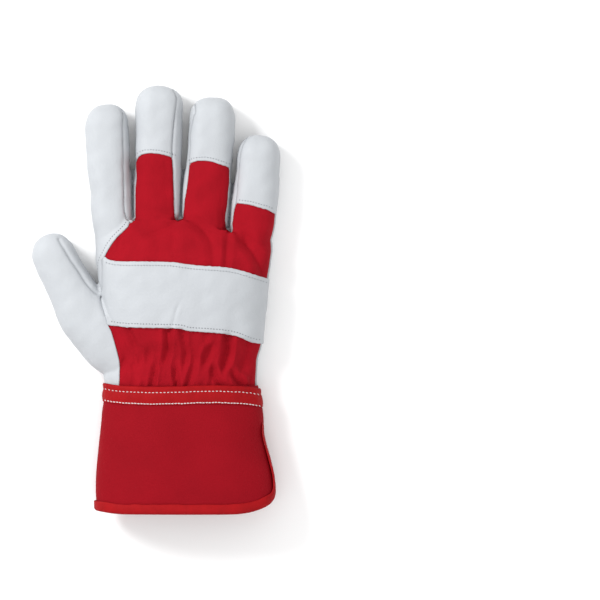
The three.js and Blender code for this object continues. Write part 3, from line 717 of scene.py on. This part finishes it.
for name, (_, above, below) in side.items():
    press(above, 0.7, 0.9, step(lift, 0.0, 1.5))
    press(below, 0.7, 1.0, step(-lift, 0.0, 1.5))
sides = 1 - step(np.abs(N[:, 2]), 0.55, 0.85)
press(lift, 0.6, 1.0, sides * step(-side_room, -0.5, 1.5) * step(V[:, 1], WRIST, WRIST + 4))
press(to_line(xy, edge("thumbSeam"))[0], 1.3, 1.0, upper * step(V[:, 2], 8, 12))
press(to_line(xy, edge("strapLeft"))[0], 0.8, 1.0, upper)
press(to_line(xy, edge("frontOnPalm"))[0], 0.6, 1.2, step(-N[:, 2], 0.2, 0.5))
press(to_line(xy, edge("thumbOnPalm"))[0], 0.7, 1.3, step(-N[:, 2], 0.0, 0.4))
knot = np.hypot(xy[:, 0] + 53.0, xy[:, 1] - 4.0)
deep -= 0.9 * np.exp(-((knot / 1.8) ** 2)) * upper


def fold_depth(table):
    total = np.zeros(len(V))
    for points, depth, width, open_ends in table:
        line = smooth_rows(px(points), 6) if len(points) > 2 else px(points)
        dist, _, run = to_line(xy, line)
        length = np.hypot(*np.diff(line, axis=0).T).sum()
        fade = 1.0
        if open_ends in ("top", "both"):
            fade = fade * (0.15 + 0.85 * step(run, 0, min(7.0, 0.6 * length)))
        if open_ends in ("bottom", "both"):
            fade = fade * (0.15 + 0.85 * step(length - run, 0, min(7.0, 0.6 * length)))
        valley = np.exp(-((dist / (0.8 * width)) ** 1.05))
        ridge = np.exp(-(((dist - 1.9 * width) / (0.8 * width)) ** 2))
        total += depth * fade * (valley - 0.24 * ridge)
    return total


leather_near = np.max([R[k] for k in ("indexOnBack", "thumbOnBack", "middleCap", "ringCap", "littleCap")], 0)
on_cloth = (1 - step(R["strap"], -0.8, 0.8)) * (1 - step(leather_near, -0.8, 0.8))
fold = 1.3 * fold_depth(CREASES) * (0.12 + 0.88 * on_cloth)
fold += fold_depth(STRAP_CREASES) * step(R["strap"], 0.0, 1.5)
fold *= upper * step(V[:, 2], 12, 17)
slack = 0.26 * waves(V[:, 0], V[:, 1], 26, 6, 21) + 0.12 * waves(V[:, 0], V[:, 1], 11, 6, 22)
near_band = step(-V[:, 1], 22, 50) * on_cloth * upper
slack += 0.24 * waves(V[:, 0], V[:, 1] * 0.35, 8.5, 6, 23) * near_band
slack += 0.13 * waves(V[:, 0], V[:, 1] * 0.3, 4.6, 6, 24) * near_band

V = V - N * (deep + fold + slack * step(V[:, 2], 1.0, 6.0))[:, None]

# Where two fingers touch, the line between them is a narrow dark slit.
for name, (root, point, left, right) in SIDE_WALLS.items():
    ends = []
    for finger, sign in ((left, 1), (right, -1)):
        rows = smooth_rows(finger_rows(finger), 12)
        ends.append(np.interp(V[:, 1], rows[:, 1], rows[:, 0] + sign * rows[:, 2]))
    off = V[:, 0] - (ends[0] + ends[1]) / 2
    root_y = WRIST + root * HAND
    touching = step(np.maximum(N[:, 2], N[:, 1]), 0.25, 0.6) * (side[name][0] > 0)
    touching = touching * step(V[:, 1], root_y + 1.0, root_y + 4.0)
    V[:, 2] -= SLIT_DEPTH * np.exp(-((off / 0.6) ** 2)) * touching * step(V[:, 2], 3.0, 9.0)
V = relax(V, F, 1, 0.4)
V[:, 2] = np.maximum(V[:, 2], 0.0)
N = normals_of(V, F)

# Materials


def material(name, color, rough_value, build=None, gloss=0.5):
    m = bpy.data.materials.new(name)
    m.use_nodes = True
    nodes, links = m.node_tree.nodes, m.node_tree.links
    shader = nodes["Principled BSDF"]
    shader.inputs["Base Color"].default_value = (*color, 1)
    shader.inputs["Roughness"].default_value = rough_value
    shader.inputs["Specular IOR Level"].default_value = gloss
    if build:
        build(nodes, links, shader, color)
    return m


def tex(nodes, links, kind, scale, detail=3.0, stretch=(1, 1, 1), turn=0.0, **inputs):
    """A procedural texture over the piece's own coordinates, in mm."""
    where = nodes.new("ShaderNodeTexCoord")
    place = nodes.new("ShaderNodeMapping")
    place.inputs["Scale"].default_value = [1000 * s for s in stretch]
    place.inputs["Rotation"].default_value = (0, 0, turn)
    links.new(where.outputs["Object"], place.inputs["Vector"])
    t = nodes.new(kind)
    links.new(place.outputs["Vector"], t.inputs["Vector"])
    t.inputs["Scale"].default_value = scale
    if "Detail" in t.inputs:
        t.inputs["Detail"].default_value = detail
    for k, value in inputs.items():
        t.inputs[k.replace("_", " ")].default_value = value
    return t


def spread(nodes, links, source, lo, hi, a, b):
    r = nodes.new("ShaderNodeMapRange")
    r.inputs["From Min"].default_value = lo
    r.inputs["From Max"].default_value = hi
    r.inputs["To Min"].default_value = a
    r.inputs["To Max"].default_value = b
    links.new(source, r.inputs["Value"])
    return r.outputs["Result"]


def tint(nodes, links, shader, color, factor, dark):
    mix = nodes.new("ShaderNodeMix")
    mix.data_type = "RGBA"
    mix.inputs["A"].default_value = (*[c * dark for c in color], 1)
    mix.inputs["B"].default_value = (*color, 1)
    links.new(factor, mix.inputs["Factor"])
    links.new(mix.outputs["Result"], shader.inputs["Base Color"])


def bump(nodes, links, shader, height, distance, strength=1.0, previous=None):
    b = nodes.new("ShaderNodeBump")
    b.inputs["Distance"].default_value = distance
    b.inputs["Strength"].default_value = strength
    links.new(height, b.inputs["Height"])
    if previous is not None:
        links.new(previous.outputs["Normal"], b.inputs["Normal"])
    links.new(b.outputs["Normal"], shader.inputs["Normal"])
    return b


def leather_look(nodes, links, shader, color):
    broad = tex(nodes, links, "ShaderNodeTexNoise", 0.05, 4)
    tint(nodes, links, shader, color, spread(nodes, links, broad.outputs["Fac"], 0.3, 0.7, 0, 1), 0.955)
    grain = tex(nodes, links, "ShaderNodeTexVoronoi", 0.9)
    fine = tex(nodes, links, "ShaderNodeTexNoise", 1.6, 5)
    soft = tex(nodes, links, "ShaderNodeTexNoise", 0.16, 3)
    b = bump(nodes, links, shader, soft.outputs["Fac"], 0.0006, 0.6)
    b = bump(nodes, links, shader, grain.outputs["Distance"], 0.00012, 0.5, b)
    b = bump(nodes, links, shader, fine.outputs["Fac"], 0.00012, 0.5, b)
    links.new(spread(nodes, links, fine.outputs["Fac"], 0.3, 0.7, 0.5, 0.62), shader.inputs["Roughness"])


def cloth_look(nodes, links, shader, color):
    broad = tex(nodes, links, "ShaderNodeTexNoise", 0.08, 5)
    tint(nodes, links, shader, color, spread(nodes, links, broad.outputs["Fac"], 0.3, 0.7, 0, 1), 0.86)
    twill = tex(nodes, links, "ShaderNodeTexWave", 0.9, 1.0, turn=0.9)
    weft = tex(nodes, links, "ShaderNodeTexNoise", 1.2, 4, stretch=(0.5, 2.0, 1))
    b = bump(nodes, links, shader, twill.outputs["Fac"], 0.00012, 0.5)
    bump(nodes, links, shader, weft.outputs["Fac"], 0.0003, 0.5, b)


def cuff_look(nodes, links, shader, color):
    broad = tex(nodes, links, "ShaderNodeTexNoise", 0.035, 4)
    tint(nodes, links, shader, color, spread(nodes, links, broad.outputs["Fac"], 0.3, 0.7, 0, 1), 0.88)
    weft = tex(nodes, links, "ShaderNodeTexNoise", 1.0, 4, stretch=(0.3, 2.4, 1))
    warp = tex(nodes, links, "ShaderNodeTexNoise", 1.0, 4, stretch=(2.4, 0.3, 1))
    b = bump(nodes, links, shader, weft.outputs["Fac"], 0.0004, 0.6)
    bump(nodes, links, shader, warp.outputs["Fac"], 0.0003, 0.5, b)


def tape_look(nodes, links, shader, color):
    rib = tex(nodes, links, "ShaderNodeTexNoise", 1.3, 4, stretch=(0.5, 1.6, 1))
    broad = tex(nodes, links, "ShaderNodeTexNoise", 0.15, 3)
    tint(nodes, links, shader, color, spread(nodes, links, broad.outputs["Fac"], 0.3, 0.7, 0, 1), 0.84)
    bump(nodes, links, shader, rib.outputs["Fac"], 0.0004, 0.6)


def thread_look(nodes, links, shader, color):
    twist = tex(nodes, links, "ShaderNodeTexNoise", 2.5, 2)
    bump(nodes, links, shader, twist.outputs["Fac"], 0.0002, 0.5)


LEATHER_M = material("white_leather", (0.455, 0.474, 0.497), 0.55, leather_look, 0.3)
CLOTH_M = material("red_cotton", (0.328, 0.0042, 0.012), 0.85, cloth_look, 0.09)
CUFF_M = material("red_cuff_cloth", (0.262, 0.0036, 0.0095), 0.75, cuff_look, 0.06)
TAPE_M = material("red_tape", (0.325, 0.0038, 0.0065), 0.65, tape_look, 0.1)
THREAD_M = material("white_thread", (0.62, 0.6, 0.6), 0.7, thread_look, 0.2)
SKIN_THREAD_M = material("grey_white_thread", (0.2, 0.21, 0.225), 0.7, thread_look, 0.2)

# Pieces of the hand

tops = []


def finish_piece(obj, slot, *nodes):
    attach(obj, "root")
    if nodes:
        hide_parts(*nodes)
    return obj


# How much a rim is a turned seam, against a cut edge lying on the cloth.
turned = np.maximum(step(side_room, -1.5, -0.4), 1 - step(np.abs(lift), 0.6, 1.6))
turned = np.maximum(turned, step(-lift, 0.5, 1.5))


def build(name, field, wall, look, slot, out=0.0, round_by=0.3, tuck=0.5):
    """A wall of one piece: the form where the field is above 0, raised by out."""
    out = np.broadcast_to(out, len(V)).astype(float)
    v, f, extra = clip(V, F, field - GAP, np.hstack([N, out[:, None], turned[:, None]]))
    n = unit(extra[:, :3])
    shift = extra[:, 3]
    tops.append((v + n * shift[:, None], f))
    wv, wf = thicken(v, f, n, shift, shift - wall, round_by, 0.08 + tuck * extra[:, 4])
    obj = add_mesh(name + "_piece", wv, wf, look, 50)
    return finish_piece(obj, slot, name)


for cap, region in (("cap_middle", "middleCap"), ("cap_ring", "ringCap"), ("cap_little", "littleCap")):
    build(cap, top_piece(region, 1.0), LEATHER, LEATHER_M, "leather")
index_field = top_piece("indexOnBack", 0.6)
build("index_back", index_field, LEATHER, LEATHER_M, "leather")
thumb_piece = np.minimum(thumb_field, wrist_cut)
build("thumb", thumb_piece, LEATHER, LEATHER_M, "leather")
for name in SIDE_WALLS:
    build("fourchette_" + name, side[name][0], LEATHER, LEATHER_M, "leather", out=-0.15)
front_field = np.minimum(np.minimum(R["frontOnPalm"], -lift), -side_room)
build("finger_front", front_field, LEATHER, LEATHER_M, "leather")

tab = inside(xy, smooth_rows(mirrored(TAB_HALF), 8))
below_wrist = WRIST - 0.35 - 3.65 * step(V[:, 2], 5.5, 7.5) - V[:, 1]
tab_part = np.minimum(tab, 0.5 - V[:, 2])
palm_field = np.minimum(np.minimum(-lift, -side_room), np.minimum(-R["thumbOnPalm"], -R["frontOnPalm"]))
palm_field = np.minimum(palm_field, np.maximum(-below_wrist, tab_part))
build("palm_leather", palm_field, LEATHER, LEATHER_M, "leather", tuck=0.4)

# The cloth runs 2 mm in under the leather, but stops short of it beside the strap's left end.
strap_end = trimmed(edge("strapLeft"), 2.0, 2.0)
beside_strap = step(3.0 - to_line(xy, strap_end)[0], 0.0, 1.0)
cloth_field = lift.copy()
for name in ("thumbOnBack", "indexOnBack", "middleCap", "ringCap", "littleCap"):
    cloth_field = np.minimum(cloth_field, -R[name] + 2.0 - 4.5 * beside_strap)
cloth_field = np.minimum(cloth_field, -side_room)
cloth_field = np.minimum(cloth_field, wrist_cut)
carried = np.hstack([N, cloth_field[:, None], side_room[:, None], leather_near[:, None]])
cv, cf, extra = clip(V, F, cloth_field - GAP, carried)
cn = unit(extra[:, :3])
beside = 1 - step(-extra[:, 4], 0.6, 5.0)
beside *= 1 - step(extra[:, 5], -1.6, -0.2)
drop = -CLOTH_DROP * (1 - 0.85 * beside) - 0.5 * (1 - step(extra[:, 3], 1.2, 3.2)) * (extra[:, 4] < -3)
tops.append((cv + cn * drop[:, None], cf))
wv, wf = thicken(cv, cf, cn, drop, drop - CLOTH, 0.2)
back = add_mesh("back_cloth_piece", wv, wf, CLOTH_M, 50)
finish_piece(back, "back_cloth", "back_cloth")

strap_field = np.minimum(R["strap"] + rough, lift - 1.5)
strap_field = np.minimum(strap_field, -np.maximum(R["indexOnBack"], R["thumbOnBack"]))
from_left = np.minimum(-R["indexOnBack"], -R["thumbOnBack"])
strap_out = 0.1 + 0.85 * step(from_left, 0.0, 5.0)
build("knuckle_strap", strap_field, 1.2, LEATHER_M, "leather", out=strap_out, round_by=0.35)

# Cuff


def cuff_rows(y_list):
    rows = np.array(CUFF_SECTIONS)
    length = CUFF - 1.3
    down = (WRIST - np.asarray(y_list)) / length
    dense = np.stack([np.interp(down, rows[:, 0], rows[:, k]) for k in range(6)], 1)
    for k in range(1, 6):
        col = np.pad(dense[:, k], 4, "edge")
        weights = (1, 2, 3, 4, 5, 4, 3, 2, 1)
        dense[:, k] = sum(col[i : i + len(down)] * w for i, w in enumerate(weights)) / 25
    return dense


def cuff_point(row, turn, grow):
    """A point of the cuff's section, from its sizes and the turn about its middle."""
    _, left, right, top, lift_share, seam = row
    half, middle = (right - left) * MOUTH_W / 2 + grow, (right + left) * MOUTH_W / 2
    widest = seam * MOUTH_H
    floor = 1.3 + (3.0 - 1.3) * lift_share
    c, s = np.cos(turn), np.sin(turn)
    x = middle + np.sign(c) * np.abs(c) ** (2 / 2.35) * half
    rise = np.where(s > 0, top * MOUTH_H - widest + grow, widest + grow)
    z = np.maximum(floor - grow, widest + np.sign(s) * np.abs(s) ** (2 / 2.35) * rise)
    return x, z


OPEN_Y = WRIST - CUFF + 2.0
SLIT_TOP = OPEN_Y + SLIT_LONG
CORNER_WIDE, CORNER_HIGH, CORNER_ROUND, CUFF_RIGHT = 29.0, 12.5, 8.0, 58.2


def slit_centre(y):
    return np.interp(y, [OPEN_Y, SLIT_TOP], [0.46 * MOUTH_H, 0.368 * MOUTH_H])


def mouth_rise(x, z):
    """How much the mouth's edge rises from its lowest line, across the glove and towards the slit."""
    t = np.clip((x - (CUFF_RIGHT - CORNER_WIDE)) / CORNER_WIDE, 0, 0.995)
    left = np.clip((-38.0 - x) / 19.0, 0, 1.2)
    off = np.clip(np.abs(z - slit_centre(OPEN_Y + CORNER_HIGH)) - SLIT_HALF, 0, CORNER_ROUND)
    corner = CORNER_ROUND - np.sqrt(CORNER_ROUND**2 - (CORNER_ROUND - off) ** 2)
    return CORNER_HIGH * (1 - np.sqrt(1 - t**2)) + 1.9 * left**1.6 + corner * step(x, 38.0, 50.0)


def cuff_rows_at(ys):
    return np.stack([np.interp(-np.asarray(ys), -cuff_y, cuff_dense[:, k]) for k in range(6)], 1)


cuff_y = np.linspace(WRIST - 1.0, OPEN_Y, 96)
cuff_dense = cuff_rows(cuff_y)
turns = np.linspace(0, 2 * math.pi, 401)[:-1]
grid = np.zeros((len(cuff_y), len(turns), 3))
for i, (y, row) in enumerate(zip(cuff_y, cuff_dense)):
    x, z = cuff_point(row, turns, 0.0)
    y_at = y + mouth_rise(x, z) * step(WRIST - y, 0.38 * CUFF, CUFF - 2.0)
    x, z = cuff_point(cuff_rows_at(y_at).T, turns, 0.0)
    grid[i] = np.stack([x, y_at, z], 1)
m, n = grid.shape[:2]
idx = np.arange(m * n).reshape(m, n)
nxt = np.roll(idx, -1, 1)
quads = np.concatenate([
    np.stack([idx[:-1], idx[1:], nxt[1:]], -1).reshape(-1, 3),
    np.stack([idx[:-1], nxt[1:], nxt[:-1]], -1).reshape(-1, 3),
])
CV = grid.reshape(-1, 3)
CN = normals_of(CV, quads)
if (CN[:, 2] * (CV[:, 2] - 20)).sum() < 0:
    quads, CN = quads[:, ::-1], -CN
soft = 0.35 * waves(CV[:, 0], CV[:, 1] * 0.6, 45, 6, 31) * step(WRIST - 14 - CV[:, 1], 0, 20)
CV = CV + CN * soft[:, None] * step(CV[:, 2], 3, 9)[:, None]
off_slit = np.abs(CV[:, 2] - slit_centre(CV[:, 1])) - SLIT_HALF
past_end = CV[:, 1] - SLIT_TOP
slit_field = np.where(past_end > 0, np.hypot(np.maximum(off_slit, 0), past_end), off_slit)
slit_field = np.where(CV[:, 0] < 10, 50.0, slit_field)
kv, kf, extra = clip(CV, quads, slit_field, CN)
kn = unit(extra)
wv, wf = thicken(kv, kf, kn, np.zeros(len(kv)), -CUFF_WALL, 0.15)
finish_piece(add_mesh("cuff_piece", wv, wf, CUFF_M, 50), "cuff_cloth", "cuff")
cuff_tree = BVHTree.FromPolygons([tuple(p) for p in kv], [tuple(q) for q in kf.tolist()])

# Binding round the mouth and the slit


def turn_at(row, z_want, upper_side):
    """The turn, on the +X side, where the cuff's section reaches a height."""
    t = np.linspace(0, math.pi / 2, 400) * (1 if upper_side else -1)
    _, z = cuff_point(row, t, 0.0)
    order = np.argsort(z)
    return np.interp(z_want, z[order], t[order])


def slit_side(upper_side):
    """The slit's one edge, from its end down to where the mouth's edge meets it, as y and turn."""
    out = []
    for y, row in zip(np.linspace(SLIT_TOP, OPEN_Y, 60), cuff_rows_at(np.linspace(SLIT_TOP, OPEN_Y, 60))):
        t = turn_at(row, slit_centre(y) + SLIT_HALF * (1 if upper_side else -1), upper_side)
        x, z = cuff_point(row, np.array([t]), 0.0)
        if y < OPEN_Y + mouth_rise(x[0], z[0]):
            break
        out.append((y, t))
    return out


up_side, low_side = slit_side(True), slit_side(False)
mouth_turns = np.linspace(up_side[-1][1], 2 * math.pi + low_side[-1][1], 262)[1:-1]
mouth_row = cuff_rows_at([OPEN_Y])[0]
mouth_y = OPEN_Y + mouth_rise(*cuff_point(mouth_row, mouth_turns, 0.0))
path = up_side + list(zip(mouth_y, mouth_turns)) + low_side[::-1]
points = []
for (y, t), row in zip(path, cuff_rows_at([q[0] for q in path])):
    x, z = cuff_point(row, np.array([t]), 0.0)
    points.append((x[0], y, z[0]))
points = np.array(points)
# The end of the slit, a small arc.
a, b = points[-1], points[0]
arc = np.linspace(0, math.pi, 9)[1:-1]
cap = [(a + b) / 2 + (a - b) / 2 * math.cos(q) + np.array([0, SLIT_HALF * 0.8 * math.sin(q), 0]) for q in arc]
points = np.vstack([points, cap])


def resample(p, pitch):
    ring = np.vstack([p, p[:1]])
    run = run_along(ring)
    s = np.linspace(0, run[-1], int(run[-1] / pitch) + 1)[:-1]
    return np.stack([np.interp(s, run, ring[:, k]) for k in range(3)], 1)


def ring_smooth(p, rounds):
    for _ in range(rounds):
        p = 0.25 * np.roll(p, 1, 0) + 0.5 * p + 0.25 * np.roll(p, -1, 0)
    return p


track = ring_smooth(resample(points, 1.0), 8)
surface = []
for p in track:
    hit = cuff_tree.find_nearest(Vector(p))
    nrm = np.array(hit[1])
    surface.append(nrm)
surface = np.array(surface)
mid_z = np.interp(track[:, 1], [OPEN_Y, SLIT_TOP], [20, 16])
outward = np.stack([track[:, 0] * 0.3, np.zeros(len(track)), track[:, 2] - mid_z], 1)
surface *= np.sign(np.einsum("ij,ij->i", surface, outward))[:, None]
surface = ring_smooth(surface, 4)
surface = unit(surface)
tangent = np.roll(track, -1, 0) - np.roll(track, 1, 0)
tangent = unit(tangent)
inward = np.cross(surface, tangent)
inward = unit(inward)
toward = np.array([0.0, -95.0, 20.0]) - track
if np.einsum("ij,ij->i", inward, toward).sum() < 0:
    inward = -inward
inward = ring_smooth(inward, 14)
inward = unit(inward)
slim = 0.5 + 0.5 * step(SLIT_TOP - track[:, 1], 1.0, 24.0)  # the tape is thinner at the slit's end
PROFILE = [
    (4.9, 0.28), (5.1, 0.6), (5.0, 1.0), (4.4, 1.25), (2.6, 1.35), (0.9, 1.35), (-0.4, 1.0),
    (-1.1, 0.25), (-1.3, -0.8), (-1.1, -1.85), (-0.4, -2.6), (0.9, -2.95), (2.6, -2.95),
    (4.4, -2.8), (5.0, -2.6), (5.1, -2.2), (4.9, -1.9),
    (0.6, -1.85), (0.0, -1.4), (-0.2, -0.8), (0.0, -0.2), (0.6, 0.25),
]
wob = 0.16 * ring_smooth(rng.normal(size=(len(track), 1)), 12) * 3
prof = np.array(PROFILE)
reach = prof[None, :, 0:1] + wob[:, None, :] * (prof[None, :, 0:1] > 3)
height = -0.8 + (prof[None, :, 1:2] + 0.8) * slim[:, None, None]
rings = track[:, None, :] + inward[:, None, :] * reach + surface[:, None, :] * height
rings[:, :, 2] = np.maximum(rings[:, :, 2], 0.0)
bv, bf = closed_loop(rings)
finish_piece(add_mesh("cuff_binding_piece", bv, bf, TAPE_M), "tape", "cuff_binding")

# Band over the wrist seam

# across, dip, mm
BAND_DIPS = [
    (-53, -1.6), (-45, -0.3), (-38, 0.5), (-22, 1.1), (0, 0.7), (8, 0.2), (22, 0.1), (35, 0.8),
    (42, 1.6), (48, 3.0),
]


def band_dip(x):
    """How far the band lies down the cuff across the glove, mm."""
    return 0.9 * np.interp(x, *np.transpose(BAND_DIPS))


BAND_PROFILE = [
    (0.0, 0.3), (0.0, 0.9), (0.35, 1.35), (1.4, 1.5), (2.6, 1.35), (3.7, 1.0), (4.8, 1.35), (6.4, 1.55),
    (8.0, 1.5), (9.6, 1.2), (10.4, 0.9), (10.9, 0.8), (11.4, 0.7), (11.7, 0.45), (11.7, 0.25),
    (9.0, 0.25), (4.0, 0.25),
]
turns = np.linspace(0, 2 * math.pi, 361)[:-1]
bp = np.array(BAND_PROFILE)
ring_list = []
loose = 0.16 * ring_smooth(np.random.default_rng(5).normal(size=(len(turns), 1)), 5)[:, 0] * 2
x0, _ = cuff_point(cuff_rows_at([WRIST - 2])[0], turns, 0)
for v_at, r_at in bp:
    y = BAND_START - v_at - band_dip(x0)
    rows_at = cuff_rows_at(np.clip(y, OPEN_Y, WRIST - 1.0))
    grow = r_at + loose * (0.5 if v_at > 2 else 1.0) * (r_at > 0.4)
    pts = np.array([np.ravel(cuff_point(r, np.array([t]), q)) for r, t, q in zip(rows_at, turns, grow)])
    ring_list.append(np.stack([pts[:, 0], y, pts[:, 1]], 1))
rings = np.array(ring_list).transpose(1, 0, 2)
rings[:, :, 2] = np.maximum(rings[:, :, 2], 1.55)
bv, bf = closed_loop(rings)
finish_piece(add_mesh("cuff_band_piece", bv, bf, TAPE_M), "tape", "cuff_band")
tops.append((bv, bf))

# Stitches

hv, hf = join_parts(tops)
hand_tree = BVHTree.FromPolygons([tuple(p) for p in hv], [tuple(q) for q in hf.tolist()])


FROM_BELOW = -60.0


def bead(length, radius):
    """One stitch along X: a rounded thread whose ends dip."""
    rows, around = 7, 7
    s = np.linspace(-1, 1, rows)
    r = radius * np.sqrt(np.clip(1 - s**4, 0.02, 1))
    t = np.arange(around) * 2 * math.pi / around
    v = np.stack([
        np.repeat(s * length / 2, around), np.outer(r, np.cos(t)).ravel(),
        np.outer(r, np.sin(t)).ravel() - np.repeat(np.abs(s) ** 3 * radius * 0.9, around),
    ], 1)
    f = []
    for i in range(rows - 1):
        for j in range(around):
            a, b = i * around + j, i * around + (j + 1) % around
            f += [(a, b, b + around), (a, b + around, a + around)]
    for j in range(1, around - 1):
        f += [(0, j + 1, j), ((rows - 1) * around, (rows - 1) * around + j, (rows - 1) * around + j + 1)]
    return v, np.array(f)[:, ::-1]


def stitch_row(name, line, pitch, length, radius, look, slot, raise_by=0.1, jitter=0.06, from_z=60.0):
    """Stitches along a plan line, laid on the surface seen from above or, with from_z under 0, from below."""
    line = np.asarray(line)
    run = run_along(line)
    s = np.arange(pitch / 2, run[-1], pitch)
    at, fore, aft = ([np.interp(q, run, line[:, k]) for k in (0, 1)] for q in (s, s + 0.3, s - 0.3))
    bead_v, bead_f = bead(length, radius)
    ray = Vector((0, 0, -1 if from_z > 0 else 1))
    out = []
    r = np.random.default_rng(len(name))
    for x, y, tx, ty in zip(*at, fore[0] - aft[0], fore[1] - aft[1]):
        x += r.normal() * jitter
        y += r.normal() * jitter
        hit = hand_tree.ray_cast(Vector((x, y, from_z)), ray)
        if hit[0] is None:
            continue
        nrm = np.array(hit[1])
        if nrm[2] * ray.z > 0:
            nrm = -nrm
        tan = np.array([tx, ty, 0.0])
        tan -= nrm * (tan @ nrm)
        tan /= np.linalg.norm(tan) + 1e-9
        across = np.cross(nrm, tan)
        frame3 = np.stack([tan, across, nrm], 0)
        out.append((bead_v @ frame3 + np.array(hit[0]) + nrm * raise_by, bead_f))
    v, f = join_parts(out)
    return finish_piece(add_mesh(name, v, f, look), slot)


def skin_row(name, line, pitch, length, radius, *more):
    stitch_row(name, line, pitch, length, radius, SKIN_THREAD_M, "leather", 0.02, *more)


# name, edge, sideways, cut from its start, cut from its end, pitch, length, radius
for name, along, away, lo, hi, pitch, length, radius in (
    ("cap_middle", "middleCap", 2.0, 2.0, 4.5, 1.75, 0.95, 0.29),
    ("cap_ring", "ringCap", 2.0, 4.0, 2.0, 1.75, 0.95, 0.29),
    ("cap_little", "littleCap", 2.0, 4.0, 14.0, 1.75, 0.95, 0.29),
    ("strap_top", "strapTop", -2.2, 2.5, 15.5, 1.85, 1.0, 0.31),
    ("strap_bottom", "strapBottom", 2.2, 1.5, 19.5, 1.85, 1.0, 0.31),
    ("index", "indexOnBack", -2.2, 2.0, 1.0, 1.75, 0.95, 0.29),
):
    skin_row("stitches_" + name, trimmed(shifted(edge(along), away), lo, hi), pitch, length, radius)

for row_name, v_at, pitch, length, radius in (
    ("stitches_band_upper", 3.7, 2.35, 1.55, 0.27), ("stitches_band_lower", 10.8, 1.95, 1.9, 0.3),
):
    xs = np.linspace(-51, 48, 80)
    line = np.stack([xs, BAND_START - v_at - band_dip(xs)], 1)
    stitch_row(row_name, line, pitch, length, radius, THREAD_M, "tape", 0.1, 0.05)
    for side_name, lo, hi in (("_thumb_side", -48.0, -41.5), ("_little_side", 41.5, 45.0)):
        xs = np.linspace(lo, hi, 20)
        line = np.stack([xs, BAND_START - v_at - band_dip(xs)], 1)
        stitch_row(row_name + side_name, line, pitch, length, radius, THREAD_M, "tape", 0.1, 0.05, FROM_BELOW)

# The tab's stitches, on the underside: two rows across the wrist and one inside its edge.
for row_name, y_at in (("stitches_tab_upper", -60.7), ("stitches_tab_middle", -67.3)):
    line = np.array([(-38.5, y_at - 0.6), (0, y_at + 0.1), (38.5, y_at - 0.3)])
    skin_row(row_name, smooth_rows(line, 30), 2.4, 1.6, 0.22, 0.04, FROM_BELOW)
tab_row = smooth_rows(mirrored(TAB_ROW_HALF), 10)
skin_row("stitches_tab_edge", tab_row, 2.2, 1.5, 0.22, 0.04, FROM_BELOW)

# Floor, light and camera

floor_mesh = bpy.data.meshes.new("floor")
floor_corners = [(x * FLOOR_HALF, y * FLOOR_HALF, FLOOR_Z) for x, y in ((-1, -1), (1, -1), (1, 1), (-1, 1))]
floor_mesh.from_pydata(floor_corners, [], [(0, 1, 2, 3)])
floor = bpy.data.objects.new("floor", floor_mesh)
bpy.context.scene.collection.objects.link(floor)
floor_mesh.materials.append(material("pale_floor", (0.93, 0.93, 0.93), 0.9))

scene = bpy.context.scene
scene.view_settings.view_transform = "Standard"
world = bpy.data.worlds.new("studio")
scene.world = world
world.use_nodes = True
sky = world.node_tree
direction = sky.nodes.new("ShaderNodeTexCoord")
split = sky.nodes.new("ShaderNodeSeparateXYZ")
dome = sky.nodes.new("ShaderNodeMapRange")
sky.links.new(direction.outputs["Generated"], split.inputs["Vector"])
sky.links.new(split.outputs["Z"], dome.inputs["Value"])
dome.inputs["From Min"].default_value = 0.0
dome.inputs["From Max"].default_value = 0.8
dome.inputs["To Min"].default_value = 0.42
dome.inputs["To Max"].default_value = 1.1
sky.nodes["Background"].inputs["Color"].default_value = (1.0, 1.0, 1.0, 1)
sky.links.new(dome.outputs["Result"], sky.nodes["Background"].inputs["Strength"])


def area_light(name, place, aim, size, watts, color=(1, 1, 1)):
    light = bpy.data.lights.new(name, "AREA")
    light.shape = "DISK"
    light.size = size
    light.energy = watts
    light.color = color
    obj = bpy.data.objects.new(name, light)
    obj.location = place
    obj.rotation_mode = "QUATERNION"
    obj.rotation_quaternion = (Vector(aim) - Vector(place)).to_track_quat("-Z", "Y")
    scene.collection.objects.link(obj)
    return obj


area_light("key", (-0.9, 0.65, 0.9), (0, 0, 0), 0.5, 14.5)
area_light("fill", (0.3, -0.6, 1.3), (0, 0, 0), 0.9, 3.2)

cam_data = bpy.data.cameras.new("camera")
cam_data.type = "PERSP"
cam_data.sensor_width = 36
cam_data.clip_end = 50
cam = bpy.data.objects.new("camera", cam_data)
scene.collection.objects.link(cam)
CENTRE_X, HEIGHT, PLANE = (300 - 185) * PX * 0.001, 2.6, 0.014
cam.location = (CENTRE_X, 0.0, HEIGHT)
cam.rotation_mode = "QUATERNION"
cam.rotation_quaternion = Vector((0, 0, -1)).to_track_quat("-Z", "Y")
cam_data.lens = 36 * (HEIGHT - PLANE) / (600 * PX * 0.001)
scene.camera = cam
